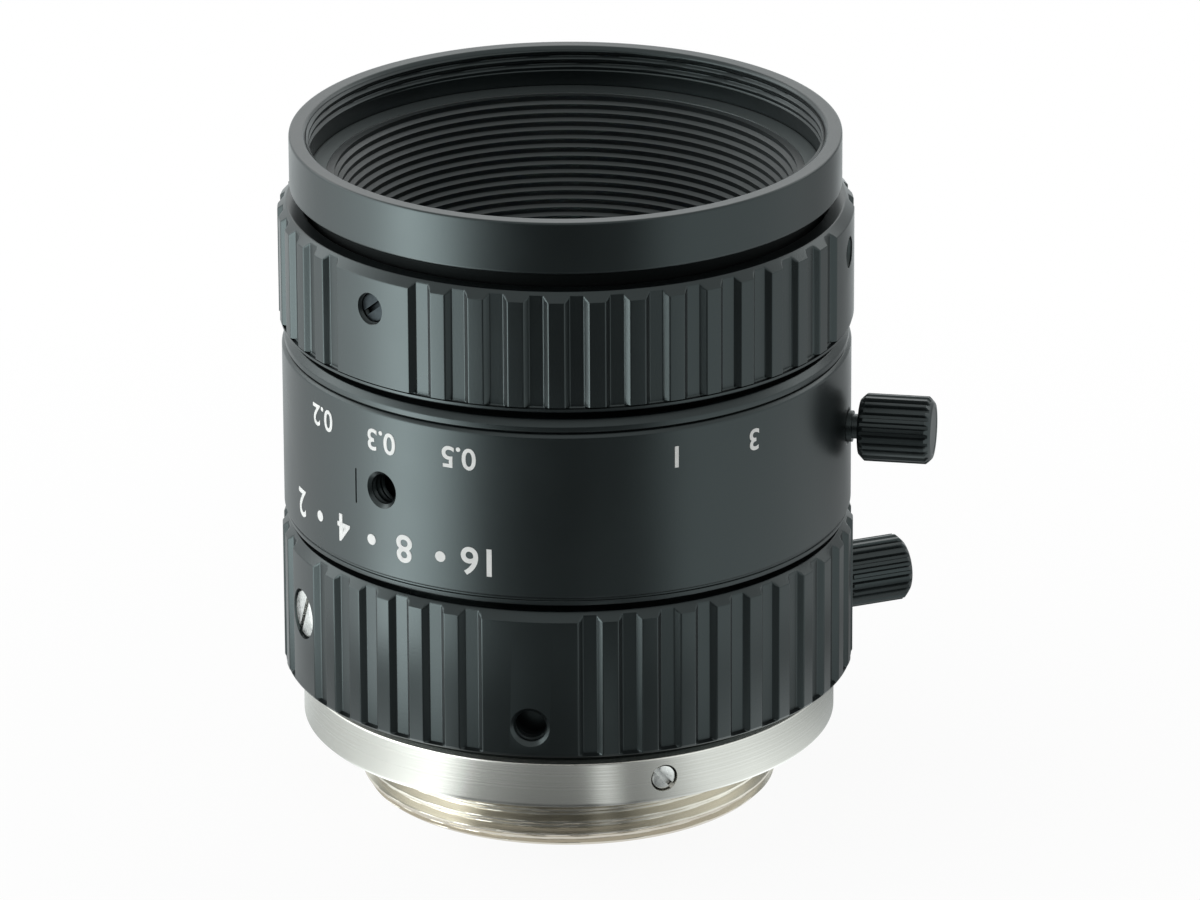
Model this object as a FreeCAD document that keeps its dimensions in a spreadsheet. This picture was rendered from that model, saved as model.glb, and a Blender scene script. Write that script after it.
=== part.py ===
import FreeCAD, Part
import math
import os
import re

import Sketcher

# C-mount machine vision lens, standing on its mount with its front up.
# The origin is the centre of the mount's flange seat, +Z runs along the optical axis towards the front,
# and an angle round the lens counts from -Y, the side that faces the viewer, towards +X.

doc = FreeCAD.newDocument("lens")
sheet = doc.addObject("Spreadsheet::Sheet", "sizes")

# The driving dimensions in millimetres and degrees, one alias each.
SIZES = (
    ("thread_radius", 12.7, "C-mount thread, one inch across"),
    ("thread_length", 4.0, "thread and its relief, below the flange seat"),
    ("thread_wall", 1.5, "wall under the mount thread"),
    ("relief_depth", 0.7, "undercut behind the mount thread"),
    ("relief_width", 0.6, "height of that undercut"),
    ("seat_relief", 0.2, "depth of the undercut into the flange seat"),
    ("seat_relief_width", 0.3, "that undercut outside the thread's radius"),
    ("thread_chamfer", 0.4, "lead-in on the thread's end"),
    ("mount_height", 3.1, "plated mount ring above its seat"),
    ("mount_inset", 1.0, "mount ring inside the barrel's outline"),
    ("mount_floor", 0.6, "floor between the mount's counterbore and its seat"),
    ("mount_chamfer", 0.25, "edge break on the mount ring"),
    ("mount_screw_height", 1.55, "axis of the mount set screws"),
    ("mount_screw_radius", 0.8, "M1.6 set screw"),
    ("mount_screw_angle", 20.5, "first mount set screw"),
    ("mount_gap", 0.66, "gap between the mount ring and the iris ring"),
    ("iris_ring_height", 9.22, "iris ring"),
    ("ring_gap", 0.4, "gap between the iris ring and the barrel"),
    ("barrel_height", 10.92, "outer part of the barrel"),
    ("barrel_chamfer", 0.55, "height of the barrel's lower chamfer"),
    ("barrel_chamfer_depth", 0.3, "depth of that chamfer"),
    ("collar_height", 0.85, "visible band of the barrel collar"),
    ("collar_inset", 0.15, "collar inside the barrel's outline"),
    ("collar_spigot", 1.0, "collar's screwed part inside the barrel"),
    ("collar_gap", 0.71, "gap between collar and focus ring"),
    ("focus_ring_height", 7.28, "focus ring"),
    ("neck_gap", 0.98, "bare neck between focus ring and front ring"),
    ("front_ring_height", 3.19, "front ring"),
    ("front_wall", 1.35, "wall of the front ring"),
    ("front_engagement", 0.75, "length that the front ring is screwed on"),
    ("filter_chamfer", 0.3, "lead-in of the filter thread"),
    ("edge_break", 0.15, "small break on outer edges"),
    ("cell_wall", 0.6, "wall of the lens cell"),
    ("slide_clearance", 0.1, "round anything that turns or slides"),
    ("seat_clearance", 0.05, "round anything that is screwed or pressed in"),
    ("helicoid_wall", 1.0, "wall of the helicoid sleeve"),
    ("helicoid_flange", 0.9, "height of its thrust flange over the sleeve"),
    ("flange_height", 1.4, "thickness of that flange"),
    ("barrel_wall", 0.7, "barrel wall round the thrust flange"),
    ("barrel_web", 3.62, "solid part of the barrel above the iris ring"),
    ("sleeve_wall", 0.9, "barrel sleeve under the iris ring"),
    ("spigot_step", 0.5, "shoulder that seats on the mount ring"),
    ("grip_rise", 0.15, "grip rings over the barrel's outline"),
    ("grip_chamfer", 0.55, "top edge of the grip rings"),
    ("flute_depth", 0.36, "grip flute"),
    ("flute_floor", 0.81, "flat floor of a flute"),
    ("flute_pitch", 8.0, "angle from flute to flute"),
    ("focus_panel_angle", -42.0, "first plain panel of the focus ring"),
    ("iris_panel_angle", -7.75, "first plain panel of the iris ring"),
    ("focus_screw_drop", 2.44, "set screws under the focus ring's top"),
    ("iris_hole_rise", 1.94, "threaded holes above the iris ring's foot"),
    ("barrel_hole_angle", -40.0, "first threaded hole of the barrel"),
    ("screw_radius", 1.0, "M2 thread"),
    ("countersink_depth", 0.25, "countersink of the M2 holes"),
    ("screw_slot_width", 0.3, "driver slot of the set screws"),
    ("screw_slot_depth", 0.4, "depth of that slot"),
    ("screw_recess", 0.2, "set screws below the surface"),
    ("drive_drop", 4.18, "iris drive screw under the iris ring's top"),
    ("drive_pin_radius", 0.75, "shank of the iris drive screw"),
    ("drive_head_radius", 1.5, "head of the iris drive screw"),
    ("drive_head_height", 1.1, "thickness of that head"),
    ("drive_slot_width", 0.4, "driver slot of the iris drive screw"),
    ("drive_slot_depth", 0.5, "depth of that slot"),
    ("lock_shank_length", 1.95, "threaded shank of a lock screw"),
    ("lock_neck_radius", 0.75, "neck of a lock screw"),
    ("lock_neck_length", 0.45, "length of that neck"),
    ("lock_head_radius", 2.05, "knurled head of a lock screw"),
    ("lock_head_length", 4.45, "length of that head"),
    ("lock_head_chamfer", 0.35, "both ends of that head"),
    ("lock_ridge_count", 22, "straight knurl of that head"),
    ("lock_ridge_depth", 0.2, "depth of the knurl"),
    ("neck_step", 1.1, "neck of the lens cell outside its tube"),
    ("head_depth", 2.2, "neck of the lens cell below the front ring"),
    ("head_step", 0.25, "that neck outside the filter thread, a shoulder for the front ring"),
    ("head_wall", 1.1, "wall of that neck"),
    ("neck_clearance", 0.35, "focus ring round the neck"),
    ("stop_gap", 0.2, "left at each end of the focus travel"),
    ("focus_in", 0.6, "focus travel towards the mount"),
    ("focus_out", 3.0, "focus travel towards the front"),
    ("iris_turn", 50.0, "turn of the iris ring"),
    ("key_radius", 0.75, "guide key"),
    ("key_angle", 120.0, "place of the guide key"),
    ("key_drop", 1.98, "guide key under the iris ring's top"),
    ("baffle_slope", 0.15, "fall of the ledge for each millimetre inwards"),
    ("baffle_ledge", 0.75, "width of the ledge on the baffle"),
    ("baffle_flange", 2.3, "height of the baffle's wide end"),
    ("baffle_lip", 0.55, "baffle's mouth inside the front element's bore"),
    ("rib_count", 16, "light-trap ribs"),
    ("rib_depth", 0.4, "depth of the light-trap ribs"),
    ("web_height", 0.9, "web between the two bores of the cell"),
    ("web_depth", 0.9, "that web over the bore"),
    ("front_cell_wall", 2.3, "its wall round the first element"),
    ("doublet_step", 1.4, "step down to the doublet's bore"),
    ("retainer_width", 0.8, "retaining rings, radially"),
    ("retainer_height", 1.1, "retaining rings, axially"),
    ("spanner_slot_angle", 10.0, "width of a spanner slot"),
    ("spanner_slot_depth", 0.5, "depth of a spanner slot"),
    ("cell_rim", 0.4, "front cell's rim over its retaining ring"),
    ("front_edge_thickness", 2.4, "edge of the first element"),
    ("spacer_height", 1.0, "front spacer"),
    ("spacer_width", 2.0, "spacers, radially"),
    ("crown_edge", 2.45, "edge of the doublet elements next to the air"),
    ("flint_edge", 2.95, "edge of the doublet elements next to the iris"),
    ("cement_gap", 0.1, "cement between the doublet elements"),
    ("stop_lip", 1.45, "lip that the doublets seat on"),
    ("lens_rim", 0.4, "flat rim round a hollow lens surface"),
    ("skirt_gap", 0.8, "cell bore round the cam ring's skirt"),
    ("skirt_wall", 0.55, "cam ring's skirt"),
    ("skirt_clearance", 0.15, "rear cell inside the skirt"),
    ("cam_thickness", 0.6, "cam ring"),
    ("cam_width", 3.1, "cam ring, radially"),
    ("pivot_inset", 1.0, "blade pivots inside the drive pins' start"),
    ("drive_arm", 2.2, "blade pivot to its drive pin"),
    ("blade_pin_radius", 0.3, "pins of the blades"),
    ("blade_inset", 1.6, "blades inside their pivots"),
    ("blade_width", 2.8, "width of a blade"),
    ("blade_arc", 112.0, "arc of a blade"),
    ("blade_swing", 30.0, "swing of a blade over the iris ring's turn"),
    ("blade_thickness", 0.1, "blade sheet"),
    ("blade_step", 0.15, "level of one blade over the next"),
    ("base_thickness", 0.75, "plate that the blades pivot in"),
    ("base_aperture", 6.9, "largest opening of the iris"),
    ("rear_step", 1.5, "rear cell's body outside its tube"),
    ("rear_flange_height", 2.8, "rear cell's screwed flange"),
    ("rear_tube_wall", 1.55, "rear cell's wall"),
    ("rear_tube_length", 4.4, "rear cell below its flange"),
    ("rear_lip", 1.05, "lip that the rear doublet seats on"),
    ("rear_lip_height", 0.95, "height of that lip"),
    ("rear_spacer_height", 1.75, "rear spacer"),
    ("rear_edge_thickness", 2.35, "edge of the last element"),
    ("mount_clearance", 0.4, "mount bore round the rear cell"),
)
for row, (alias, value, note) in enumerate(SIZES, 1):
    sheet.set(f"A{row}", note)
    sheet.set(f"B{row}", str(value))
    sheet.setAlias(f"B{row}", alias)
doc.recompute()

BLADE_COUNT = 6
SCREW_COUNT = 3

# Levels along the axis, stacked up from the flange seat.
iris_foot = "(mount_height + mount_gap)"
iris_top = f"({iris_foot} + iris_ring_height)"
barrel_foot = f"({iris_top} + ring_gap)"
barrel_top = f"({barrel_foot} + barrel_height)"
collar_top = f"({barrel_top} + collar_height)"
focus_foot = f"({collar_top} + collar_gap)"
focus_top = f"({focus_foot} + focus_ring_height)"
front_foot = f"({focus_top} + neck_gap)"
front_top = f"({front_foot} + front_ring_height)"

# Levels of the helicoid and its thrust flange.
web_top = f"({barrel_foot} + barrel_web)"
flange_top = f"({barrel_top} - collar_spigot - slide_clearance)"
flange_foot = f"({flange_top} - flange_height)"
flange_floor = f"({flange_foot} - slide_clearance)"
lock_level = f"(({web_top} + {flange_floor}) / 2)"
helicoid_foot = f"({web_top} + stop_gap)"
head_foot = f"({front_foot} - head_depth)"
head_top = f"({front_foot} + front_engagement)"
helicoid_top = f"({head_foot} - focus_in - stop_gap)"

# Levels inside the lens cell, set by the iris drive pin and by how far the cell travels past it.
drive_level = f"({iris_top} - drive_drop)"
skirt_foot = f"({drive_level} - focus_out - drive_pin_radius + 0.5 * slide_clearance)"
fork_top = f"({drive_level} + focus_in + drive_pin_radius + stop_gap)"
cam_foot = f"({fork_top} + retainer_width / 2)"
cam_top = f"({cam_foot} + cam_thickness)"
blade_level = f"({cam_top} + slide_clearance)"
base_foot = f"({blade_level} + {BLADE_COUNT} * blade_step + slide_clearance)"
base_top = f"({base_foot} + base_thickness)"
cell_web_top = f"({base_top} + seat_clearance + web_height)"
rear_flange_top = f"({skirt_foot} - stop_gap)"
cell_foot = f"({rear_flange_top} - rear_flange_height)"
key_level = f"({iris_top} - key_drop)"

# Radii, from the mount's bore outwards. The filter thread comes out at its standard 15.25, for M30.5.
mount_bore = "(thread_radius - thread_wall)"
rear_tube_radius = f"({mount_bore} - mount_clearance)"
rear_bore = f"({rear_tube_radius} - rear_tube_wall)"
rear_cell_radius = f"({rear_tube_radius} + rear_step)"
skirt_bore = f"({rear_cell_radius} + skirt_clearance)"
skirt_radius = f"({skirt_bore} + skirt_wall)"
cell_bore = f"({skirt_radius} + skirt_gap)"
cell_radius = f"({cell_bore} + cell_wall)"
sleeve_bore = f"({cell_radius} + slide_clearance)"
sleeve_radius = f"({sleeve_bore} + sleeve_wall)"
spigot_radius = f"({sleeve_radius} - spigot_step)"
mount_counterbore = f"({spigot_radius} + seat_clearance)"
iris_bore = f"({sleeve_radius} + slide_clearance)"
helicoid_radius = f"({sleeve_bore} + helicoid_wall)"
helicoid_bore = f"({helicoid_radius} + slide_clearance)"
flange_radius = f"({helicoid_radius} + helicoid_flange)"
flange_bore = f"({flange_radius} + slide_clearance)"
barrel_radius = f"({flange_bore} + barrel_wall)"
grip_radius = f"({barrel_radius} + grip_rise)"
collar_radius = f"({barrel_radius} - collar_inset)"
mount_radius = f"({barrel_radius} - mount_inset)"
head_radius = f"({cell_radius} + neck_step)"
head_bore = f"({head_radius} - head_wall)"
front_bore = f"({head_radius} + seat_clearance)"
filter_bore = f"({head_radius} - head_step)"
front_radius = f"({filter_bore} + front_wall)"
cell_seat = f"({cell_bore} - seat_clearance)"
first_bore = f"({cell_seat} - front_cell_wall)"
doublet_bore = f"({first_bore} - doublet_step)"
blade_pin_hole = "(blade_pin_radius + slide_clearance)"
drive_start = f"({skirt_bore} - {blade_pin_hole} - seat_clearance)"
pivot_radius = f"({drive_start} - pivot_inset)"
blade_radius = f"({pivot_radius} - blade_inset)"


def bound(text):
    """The expression with every size in it read from the sheet."""
    return re.sub(r"\b([a-z]+(?:_[a-z]+)+)\b", r"sizes.\1", text)


ROUGH_PLACE = 10


def outline_sketch(body, name, outline, plane="XZ_Plane", height=None, angle=None):
    """A closed outline of straight edges on one of the body's own planes, both coordinates of each
    corner bound to the sheet; height lifts it and angle turns it about the lens axis. The corners start
    on a small circle round a rough place, and the sheet's sizes then move them."""
    sketch = body.newObject("Sketcher::SketchObject", name)
    support = next(part for part in body.Origin.OriginFeatures if part.Role == plane)
    sketch.AttachmentSupport = [(support, "")]
    sketch.MapMode = "FlatFace"
    lift, turn_axis = ("y", (0, 1, 0)) if plane == "XZ_Plane" else ("z", (0, 0, 1))
    slight_turn = FreeCAD.Rotation(FreeCAD.Vector(*turn_axis), 1)
    sketch.AttachmentOffset = FreeCAD.Placement(FreeCAD.Vector(), slight_turn)
    if height:
        sketch.setExpression(f"AttachmentOffset.Base.{lift}", bound(height))
    sketch.setExpression("AttachmentOffset.Rotation.Angle", bound(f"({angle or 90}) - 90"))
    count = len(outline)
    corners = [
        FreeCAD.Vector(ROUGH_PLACE + math.cos(turn), ROUGH_PLACE + math.sin(turn), 0)
        for turn in (math.tau * i / count for i in range(count))
    ]
    sketch.addGeometry([Part.LineSegment(corners[i], corners[(i + 1) % count]) for i in range(count)], False)
    constraints = []
    for i, corner in enumerate(corners):
        constraints.append(Sketcher.Constraint("Coincident", i, 2, (i + 1) % count, 1))
        constraints.append(Sketcher.Constraint("DistanceX", -1, 1, i, 1, corner.x))
        constraints.append(Sketcher.Constraint("DistanceY", -1, 1, i, 1, corner.y))
    sketch.addConstraint(constraints)
    for i, (across, up) in enumerate(outline):
        sketch.setExpression(f"Constraints[{3 * i + 1}]", bound(across))
        sketch.setExpression(f"Constraints[{3 * i + 2}]", bound(up))
    return sketch


def new_body(label):
    """An empty body named after its piece."""
    body = doc.addObject("PartDesign::Body", label)
    body.Label = label
    return body


def revolve(body, kind, name, sketch, axis, sweep=None):
    """A full turn of the sketch about one of its axes, or a sweep centred on the sketch's plane."""
    feature = body.newObject(f"PartDesign::{kind}", name)
    feature.Profile = sketch
    feature.ReferenceAxis = (sketch, [axis])
    feature.Angle = 360
    if sweep:
        feature.Midplane = True
        feature.setExpression("Angle", bound(sweep))
    body.Tip = feature
    return feature


def turned(label, outline):
    """A piece turned about the lens axis from its outline of radius and height pairs."""
    body = new_body(label)
    sketch = outline_sketch(body, f"{label}_outline", outline)
    revolve(body, "Revolution", f"{label}_turning", sketch, "V_Axis")
    return body


def repeat(body, name, originals, count, sweep=None, axis=None):
    """The features repeated about the lens axis, over a full turn or over the sweep."""
    pattern = body.newObject("PartDesign::PolarPattern", name)
    pattern.Originals = originals
    pattern.Axis = axis or lens_axis(body)
    pattern.Angle = 360
    if sweep:
        pattern.setExpression("Angle", bound(sweep))
    pattern.setExpression("Occurrences", bound(str(count)))
    body.Tip = pattern
    return pattern


def lens_axis(body):
    """The body's own Z axis."""
    return (next(part for part in body.Origin.OriginFeatures if part.Role == "Z_Axis"), [""])


def radial_hole(body, name, outline, height, angle, count=1):
    """Round holes drilled towards the lens axis: outline pairs a distance from the lens axis with the
    hole's radius there, and starts and ends on the hole's own axis."""
    sketch = outline_sketch(body, f"{name}_outline", outline, height=height, angle=angle)
    drilled = revolve(body, "Groove", name, sketch, "H_Axis")
    if count > 1:
        return repeat(body, f"{name}s", [drilled], count)
    return drilled


def window(body, name, inner, outer, low, high, angle, sweep, count=1):
    """A window or slot cut through a wall: a box of radii and levels swept about the lens axis."""
    outline = ((inner, low), (outer, low), (outer, high), (inner, high))
    sketch = outline_sketch(body, f"{name}_outline", outline, angle=angle)
    cut = revolve(body, "Groove", name, sketch, "V_Axis", sweep)
    if count > 1:
        return repeat(body, f"{name}s", [cut], count)
    return cut


def through_cut(body, name, outline, plane, angle=None):
    """A straight cut along the plane's normal, both ways, through all of the piece."""
    sketch = outline_sketch(body, f"{name}_outline", outline, plane=plane, angle=angle)
    cut = body.newObject("PartDesign::Pocket", name)
    cut.Profile = sketch
    cut.Type = "ThroughAll"
    cut.Midplane = True
    body.Tip = cut
    return cut


def flutes(body, name, panel_angle, middle_sectors):
    """Grip flutes with 45-degree walls in three runs between plain panels. Each panel stands where two
    flutes are left out. The middle flute of a run is cut in so many of the runs as asked for."""
    floor = f"({grip_radius} - flute_depth)"
    rise = "(flute_depth + grip_rise)"
    half = "(flute_floor / 2)"
    outline = (
        (floor, f"-{half}"),
        (f"{floor} + {rise}", f"-{half} - {rise}"),
        (f"{floor} + {rise}", f"{half} + {rise}"),
        (floor, half),
    )
    first = through_cut(body, name, outline, "XY_Plane", f"{panel_angle} + 1.5 * flute_pitch")
    run = body.newObject("PartDesign::MultiTransform", f"{name}_runs")
    run.Originals = [first]
    steps = []
    for step, (count, sweep) in enumerate(((6, "5 * flute_pitch"), (2, "7 * flute_pitch"), (3, None))):
        pattern = body.newObject("PartDesign::PolarPattern", f"{name}_step_{step}")
        pattern.Axis = lens_axis(body)
        pattern.Angle = 360
        if sweep:
            pattern.setExpression("Angle", bound(sweep))
        pattern.Occurrences = count
        steps.append(pattern)
    run.Transformations = steps
    body.Tip = run
    middle = through_cut(body, f"{name}_middle", outline, "XY_Plane", f"{panel_angle} + 7.5 * flute_pitch")
    repeat(body, f"{name}_middles", [middle], middle_sectors, f"{middle_sectors - 1} * 120")


# Mount ring: nickel-plated, carries the camera thread and is clamped on the barrel by three set screws.
mount = turned(
    "c_mount_ring",
    (
        (mount_bore, "-thread_length"),
        ("thread_radius - thread_chamfer", "-thread_length"),
        ("thread_radius", "-thread_length + thread_chamfer"),
        ("thread_radius", "-relief_width"),
        ("thread_radius - relief_depth", "-relief_width"),
        ("thread_radius - relief_depth", "seat_relief"),
        ("thread_radius + seat_relief_width", "seat_relief"),
        ("thread_radius + seat_relief_width", "0"),
        (f"{mount_radius} - mount_chamfer", "0"),
        (mount_radius, "mount_chamfer"),
        (mount_radius, "mount_height - mount_chamfer"),
        (f"{mount_radius} - mount_chamfer", "mount_height"),
        (mount_counterbore, "mount_height"),
        (mount_counterbore, "mount_floor"),
        (mount_bore, "mount_floor"),
    ),
)
radial_hole(
    mount,
    "mount_screw_hole",
    (
        (f"{mount_counterbore} - 1", "0"),
        (f"{mount_radius} + 1", "0"),
        (f"{mount_radius} + 1", "mount_screw_radius"),
        (f"{mount_counterbore} - 1", "mount_screw_radius"),
    ),
    "mount_screw_height",
    "mount_screw_angle",
    SCREW_COUNT,
)


def set_screws(label, tip, end, radius, height, angle):
    """Three slotted grub screws on one circle, pointing at the lens axis, in one node."""
    body = new_body(label)
    body.AllowCompound = True
    outline = (
        (tip, "0"),
        (end, "0"),
        (end, radius),
        (f"{tip} + edge_break", radius),
        (tip, f"{radius} - edge_break"),
    )
    sketch = outline_sketch(body, f"{label}_outline", outline, height=height, angle=angle)
    turning = revolve(body, "Revolution", f"{label}_turning", sketch, "H_Axis")
    half = "(screw_slot_width / 2)"
    slot_outline = (
        (f"{end} - screw_slot_depth", f"-{half}"),
        (f"{end} + 1", f"-{half}"),
        (f"{end} + 1", half),
        (f"{end} - screw_slot_depth", half),
    )
    slot_sketch = outline_sketch(body, f"{label}_slot_outline", slot_outline, height=height, angle=angle)
    slot = body.newObject("PartDesign::Pocket", f"{label}_slot")
    slot.Profile = slot_sketch
    slot.Type = "ThroughAll"
    slot.Midplane = True
    body.Tip = slot
    repeat(body, f"{label}_ring", [turning, slot], SCREW_COUNT)
    return body


set_screws(
    "mount_set_screws",
    f"{spigot_radius} + seat_clearance / 2",
    f"{mount_radius} - screw_recess / 2",
    "(mount_screw_radius - seat_clearance)",
    "mount_screw_height",
    "mount_screw_angle",
)

# Main barrel: a sleeve that the iris ring turns on, then the fixed barrel with the helicoid's thrust seat.
barrel = turned(
    "main_barrel",
    (
        (sleeve_bore, "mount_floor + seat_clearance"),
        (spigot_radius, "mount_floor + seat_clearance"),
        (spigot_radius, "mount_height"),
        (sleeve_radius, "mount_height"),
        (sleeve_radius, barrel_foot),
        (f"{barrel_radius} - barrel_chamfer_depth", barrel_foot),
        (barrel_radius, f"{barrel_foot} + barrel_chamfer"),
        (barrel_radius, f"{barrel_top} - edge_break"),
        (f"{barrel_radius} - edge_break", barrel_top),
        (flange_bore, barrel_top),
        (flange_bore, flange_floor),
        (helicoid_bore, flange_floor),
        (helicoid_bore, web_top),
        (sleeve_bore, web_top),
    ),
)


def threaded_hole_outline(wall_inside, wall_outside):
    """An M2 hole with a small countersink, through the wall between the two radii."""
    return (
        (f"{wall_inside} - 1", "0"),
        (f"{wall_outside} + 1", "0"),
        (f"{wall_outside} + 1", "screw_radius + countersink_depth + 1"),
        (f"{wall_outside} - countersink_depth", "screw_radius"),
        (f"{wall_inside} - 1", "screw_radius"),
    )


radial_hole(
    barrel,
    "barrel_hole",
    threaded_hole_outline(helicoid_bore, barrel_radius),
    lock_level,
    "barrel_hole_angle",
    SCREW_COUNT,
)
drive_angle = "(iris_panel_angle - 60)"
drive_sweep = f"(iris_turn + 2 * asin((drive_pin_radius + 2 * slide_clearance) / {cell_bore}) / 1 deg)"
drive_middle = f"({drive_angle} + iris_turn / 2)"
window(
    barrel,
    "barrel_drive_window",
    f"{sleeve_bore} - 0.5",
    f"{sleeve_radius} + 0.5",
    f"{drive_level} - drive_pin_radius - slide_clearance",
    f"{drive_level} + drive_pin_radius + slide_clearance",
    drive_middle,
    drive_sweep,
)
radial_hole(
    barrel,
    "key_hole",
    (
        (f"{sleeve_bore} - 0.5", "0"),
        (f"{sleeve_radius} + 0.5", "0"),
        (f"{sleeve_radius} + 0.5", "key_radius + seat_clearance"),
        (f"{sleeve_bore} - 0.5", "key_radius + seat_clearance"),
    ),
    key_level,
    "key_angle",
)

# Guide key: a pin in the barrel sleeve that rides in the lens cell's slot and keeps the cell from turning.
key = new_body("guide_key")
key_outline = (
    (f"{cell_bore} + seat_clearance", "0"),
    (f"{sleeve_radius} - seat_clearance", "0"),
    (f"{sleeve_radius} - seat_clearance", "key_radius"),
    (f"{cell_bore} + seat_clearance", "key_radius"),
)
revolve(
    key,
    "Revolution",
    "guide_key_turning",
    outline_sketch(key, "guide_key_outline", key_outline, height=key_level, angle="key_angle"),
    "H_Axis",
)

# Barrel collar: screwed into the barrel's mouth, it holds the helicoid's thrust flange down.
turned(
    "barrel_collar",
    (
        (helicoid_bore, f"{barrel_top} - collar_spigot"),
        (flange_radius, f"{barrel_top} - collar_spigot"),
        (flange_radius, barrel_top),
        (collar_radius, barrel_top),
        (collar_radius, f"{collar_top} - edge_break"),
        (f"{collar_radius} - edge_break", collar_top),
        (helicoid_bore, collar_top),
    ),
)

# Helicoid sleeve: turns with the focus ring, its inner multi-start thread drives the lens cell.
turned(
    "helicoid_sleeve",
    (
        (sleeve_bore, helicoid_foot),
        (helicoid_radius, helicoid_foot),
        (helicoid_radius, flange_foot),
        (flange_radius, flange_foot),
        (flange_radius, flange_top),
        (helicoid_radius, flange_top),
        (helicoid_radius, helicoid_top),
        (sleeve_bore, helicoid_top),
    ),
)

# Focus ring: fluted grip with three plain panels, fixed on the helicoid sleeve by a set screw in each.
focus_bore = f"({helicoid_radius} + seat_clearance)"
neck_bore = f"({head_radius} + neck_clearance + slide_clearance)"
focus = turned(
    "focus_ring",
    (
        (focus_bore, focus_foot),
        (f"{grip_radius} - edge_break", focus_foot),
        (grip_radius, f"{focus_foot} + edge_break"),
        (grip_radius, f"{focus_top} - grip_chamfer"),
        (f"{grip_radius} - grip_chamfer", focus_top),
        (neck_bore, focus_top),
        (neck_bore, helicoid_top),
        (focus_bore, helicoid_top),
    ),
)
flutes(focus, "focus_flute", "focus_panel_angle", 3)
focus_screw_level = f"({focus_top} - focus_screw_drop)"
radial_hole(
    focus,
    "focus_screw_hole",
    threaded_hole_outline(focus_bore, grip_radius),
    focus_screw_level,
    "focus_panel_angle",
    SCREW_COUNT,
)
set_screws(
    "focus_set_screws",
    f"{helicoid_radius} + seat_clearance / 2",
    f"{grip_radius} - screw_recess",
    "(screw_radius - seat_clearance)",
    focus_screw_level,
    "focus_panel_angle",
)

# Iris ring: the same grip, with threaded holes in its panels and the drive screw in place of one flute.
iris = turned(
    "iris_ring",
    (
        (iris_bore, iris_foot),
        (f"{grip_radius} - edge_break", iris_foot),
        (grip_radius, f"{iris_foot} + edge_break"),
        (grip_radius, f"{iris_top} - grip_chamfer"),
        (f"{grip_radius} - grip_chamfer", iris_top),
        (iris_bore, iris_top),
    ),
)
flutes(iris, "iris_flute", "iris_panel_angle", 2)
iris_hole_level = f"({iris_foot} + iris_hole_rise)"
radial_hole(
    iris,
    "iris_hole",
    threaded_hole_outline(iris_bore, grip_radius),
    iris_hole_level,
    "iris_panel_angle",
    SCREW_COUNT,
)
drive_head_end = f"({grip_radius} - edge_break)"
drive_head_foot = f"({drive_head_end} - drive_head_height)"
radial_hole(
    iris,
    "drive_screw_hole",
    (
        (f"{iris_bore} - 1", "0"),
        (f"{grip_radius} + 1", "0"),
        (f"{grip_radius} + 1", "drive_head_radius + seat_clearance"),
        (f"{drive_head_foot}", "drive_head_radius + seat_clearance"),
        (f"{drive_head_foot}", "drive_pin_radius + seat_clearance"),
        (f"{iris_bore} - 1", "drive_pin_radius + seat_clearance"),
    ),
    drive_level,
    drive_angle,
)

# Iris drive screw: its shank reaches through the barrel and the cell into the cam ring's fork.
drive = new_body("iris_drive_screw")
drive_outline = (
    (skirt_bore, "0"),
    (drive_head_end, "0"),
    (drive_head_end, "drive_head_radius - edge_break"),
    (f"{drive_head_end} - edge_break", "drive_head_radius"),
    (drive_head_foot, "drive_head_radius"),
    (drive_head_foot, "drive_pin_radius"),
    (skirt_bore, "drive_pin_radius"),
)
revolve(
    drive,
    "Revolution",
    "iris_drive_screw_turning",
    outline_sketch(drive, "iris_drive_screw_outline", drive_outline, height=drive_level, angle=drive_angle),
    "H_Axis",
)
drive_slot = drive.newObject("PartDesign::Pocket", "iris_drive_screw_slot")
drive_slot.Profile = outline_sketch(
    drive,
    "iris_drive_screw_slot_outline",
    (
        (f"{drive_head_end} - drive_slot_depth", "-drive_slot_width / 2"),
        (f"{drive_head_end} + 1", "-drive_slot_width / 2"),
        (f"{drive_head_end} + 1", "drive_slot_width / 2"),
        (f"{drive_head_end} - drive_slot_depth", "drive_slot_width / 2"),
    ),
    height=drive_level,
    angle=drive_angle,
)
drive_slot.Type = "ThroughAll"
drive_slot.Midplane = True
drive.Tip = drive_slot


def lock_screw(label, tip, height, angle):
    """A knurled thumbscrew that points at the lens axis and presses on what lies behind its hole."""
    body = new_body(label)
    neck = f"({tip} + lock_shank_length)"
    head = f"({neck} + lock_neck_length)"
    end = f"({head} + lock_head_length)"
    outline = (
        (tip, "0"),
        (end, "0"),
        (end, "lock_head_radius - lock_head_chamfer"),
        (f"{end} - lock_head_chamfer", "lock_head_radius"),
        (f"{head} + lock_head_chamfer", "lock_head_radius"),
        (head, "lock_head_radius - lock_head_chamfer"),
        (head, "lock_neck_radius"),
        (neck, "lock_neck_radius"),
        (neck, "screw_radius - seat_clearance"),
        (f"{tip} + edge_break", "screw_radius - seat_clearance"),
        (tip, "screw_radius - seat_clearance - edge_break"),
    )
    sketch = outline_sketch(body, f"{label}_outline", outline, height=height, angle=angle)
    revolve(body, "Revolution", f"{label}_turning", sketch, "H_Axis")
    groove_root = "(lock_head_radius - lock_ridge_depth)"
    notch = (
        (head, groove_root),
        (end, groove_root),
        (end, "lock_head_radius + lock_ridge_depth"),
        (head, "lock_head_radius + lock_ridge_depth"),
    )
    notch_sketch = outline_sketch(body, f"{label}_notch_outline", notch, height=height, angle=angle)
    cut = revolve(body, "Groove", f"{label}_notch", notch_sketch, "H_Axis", "180 / lock_ridge_count")
    repeat(body, f"{label}_knurl", [cut], "lock_ridge_count", axis=(sketch, ["H_Axis"]))
    return body


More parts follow.
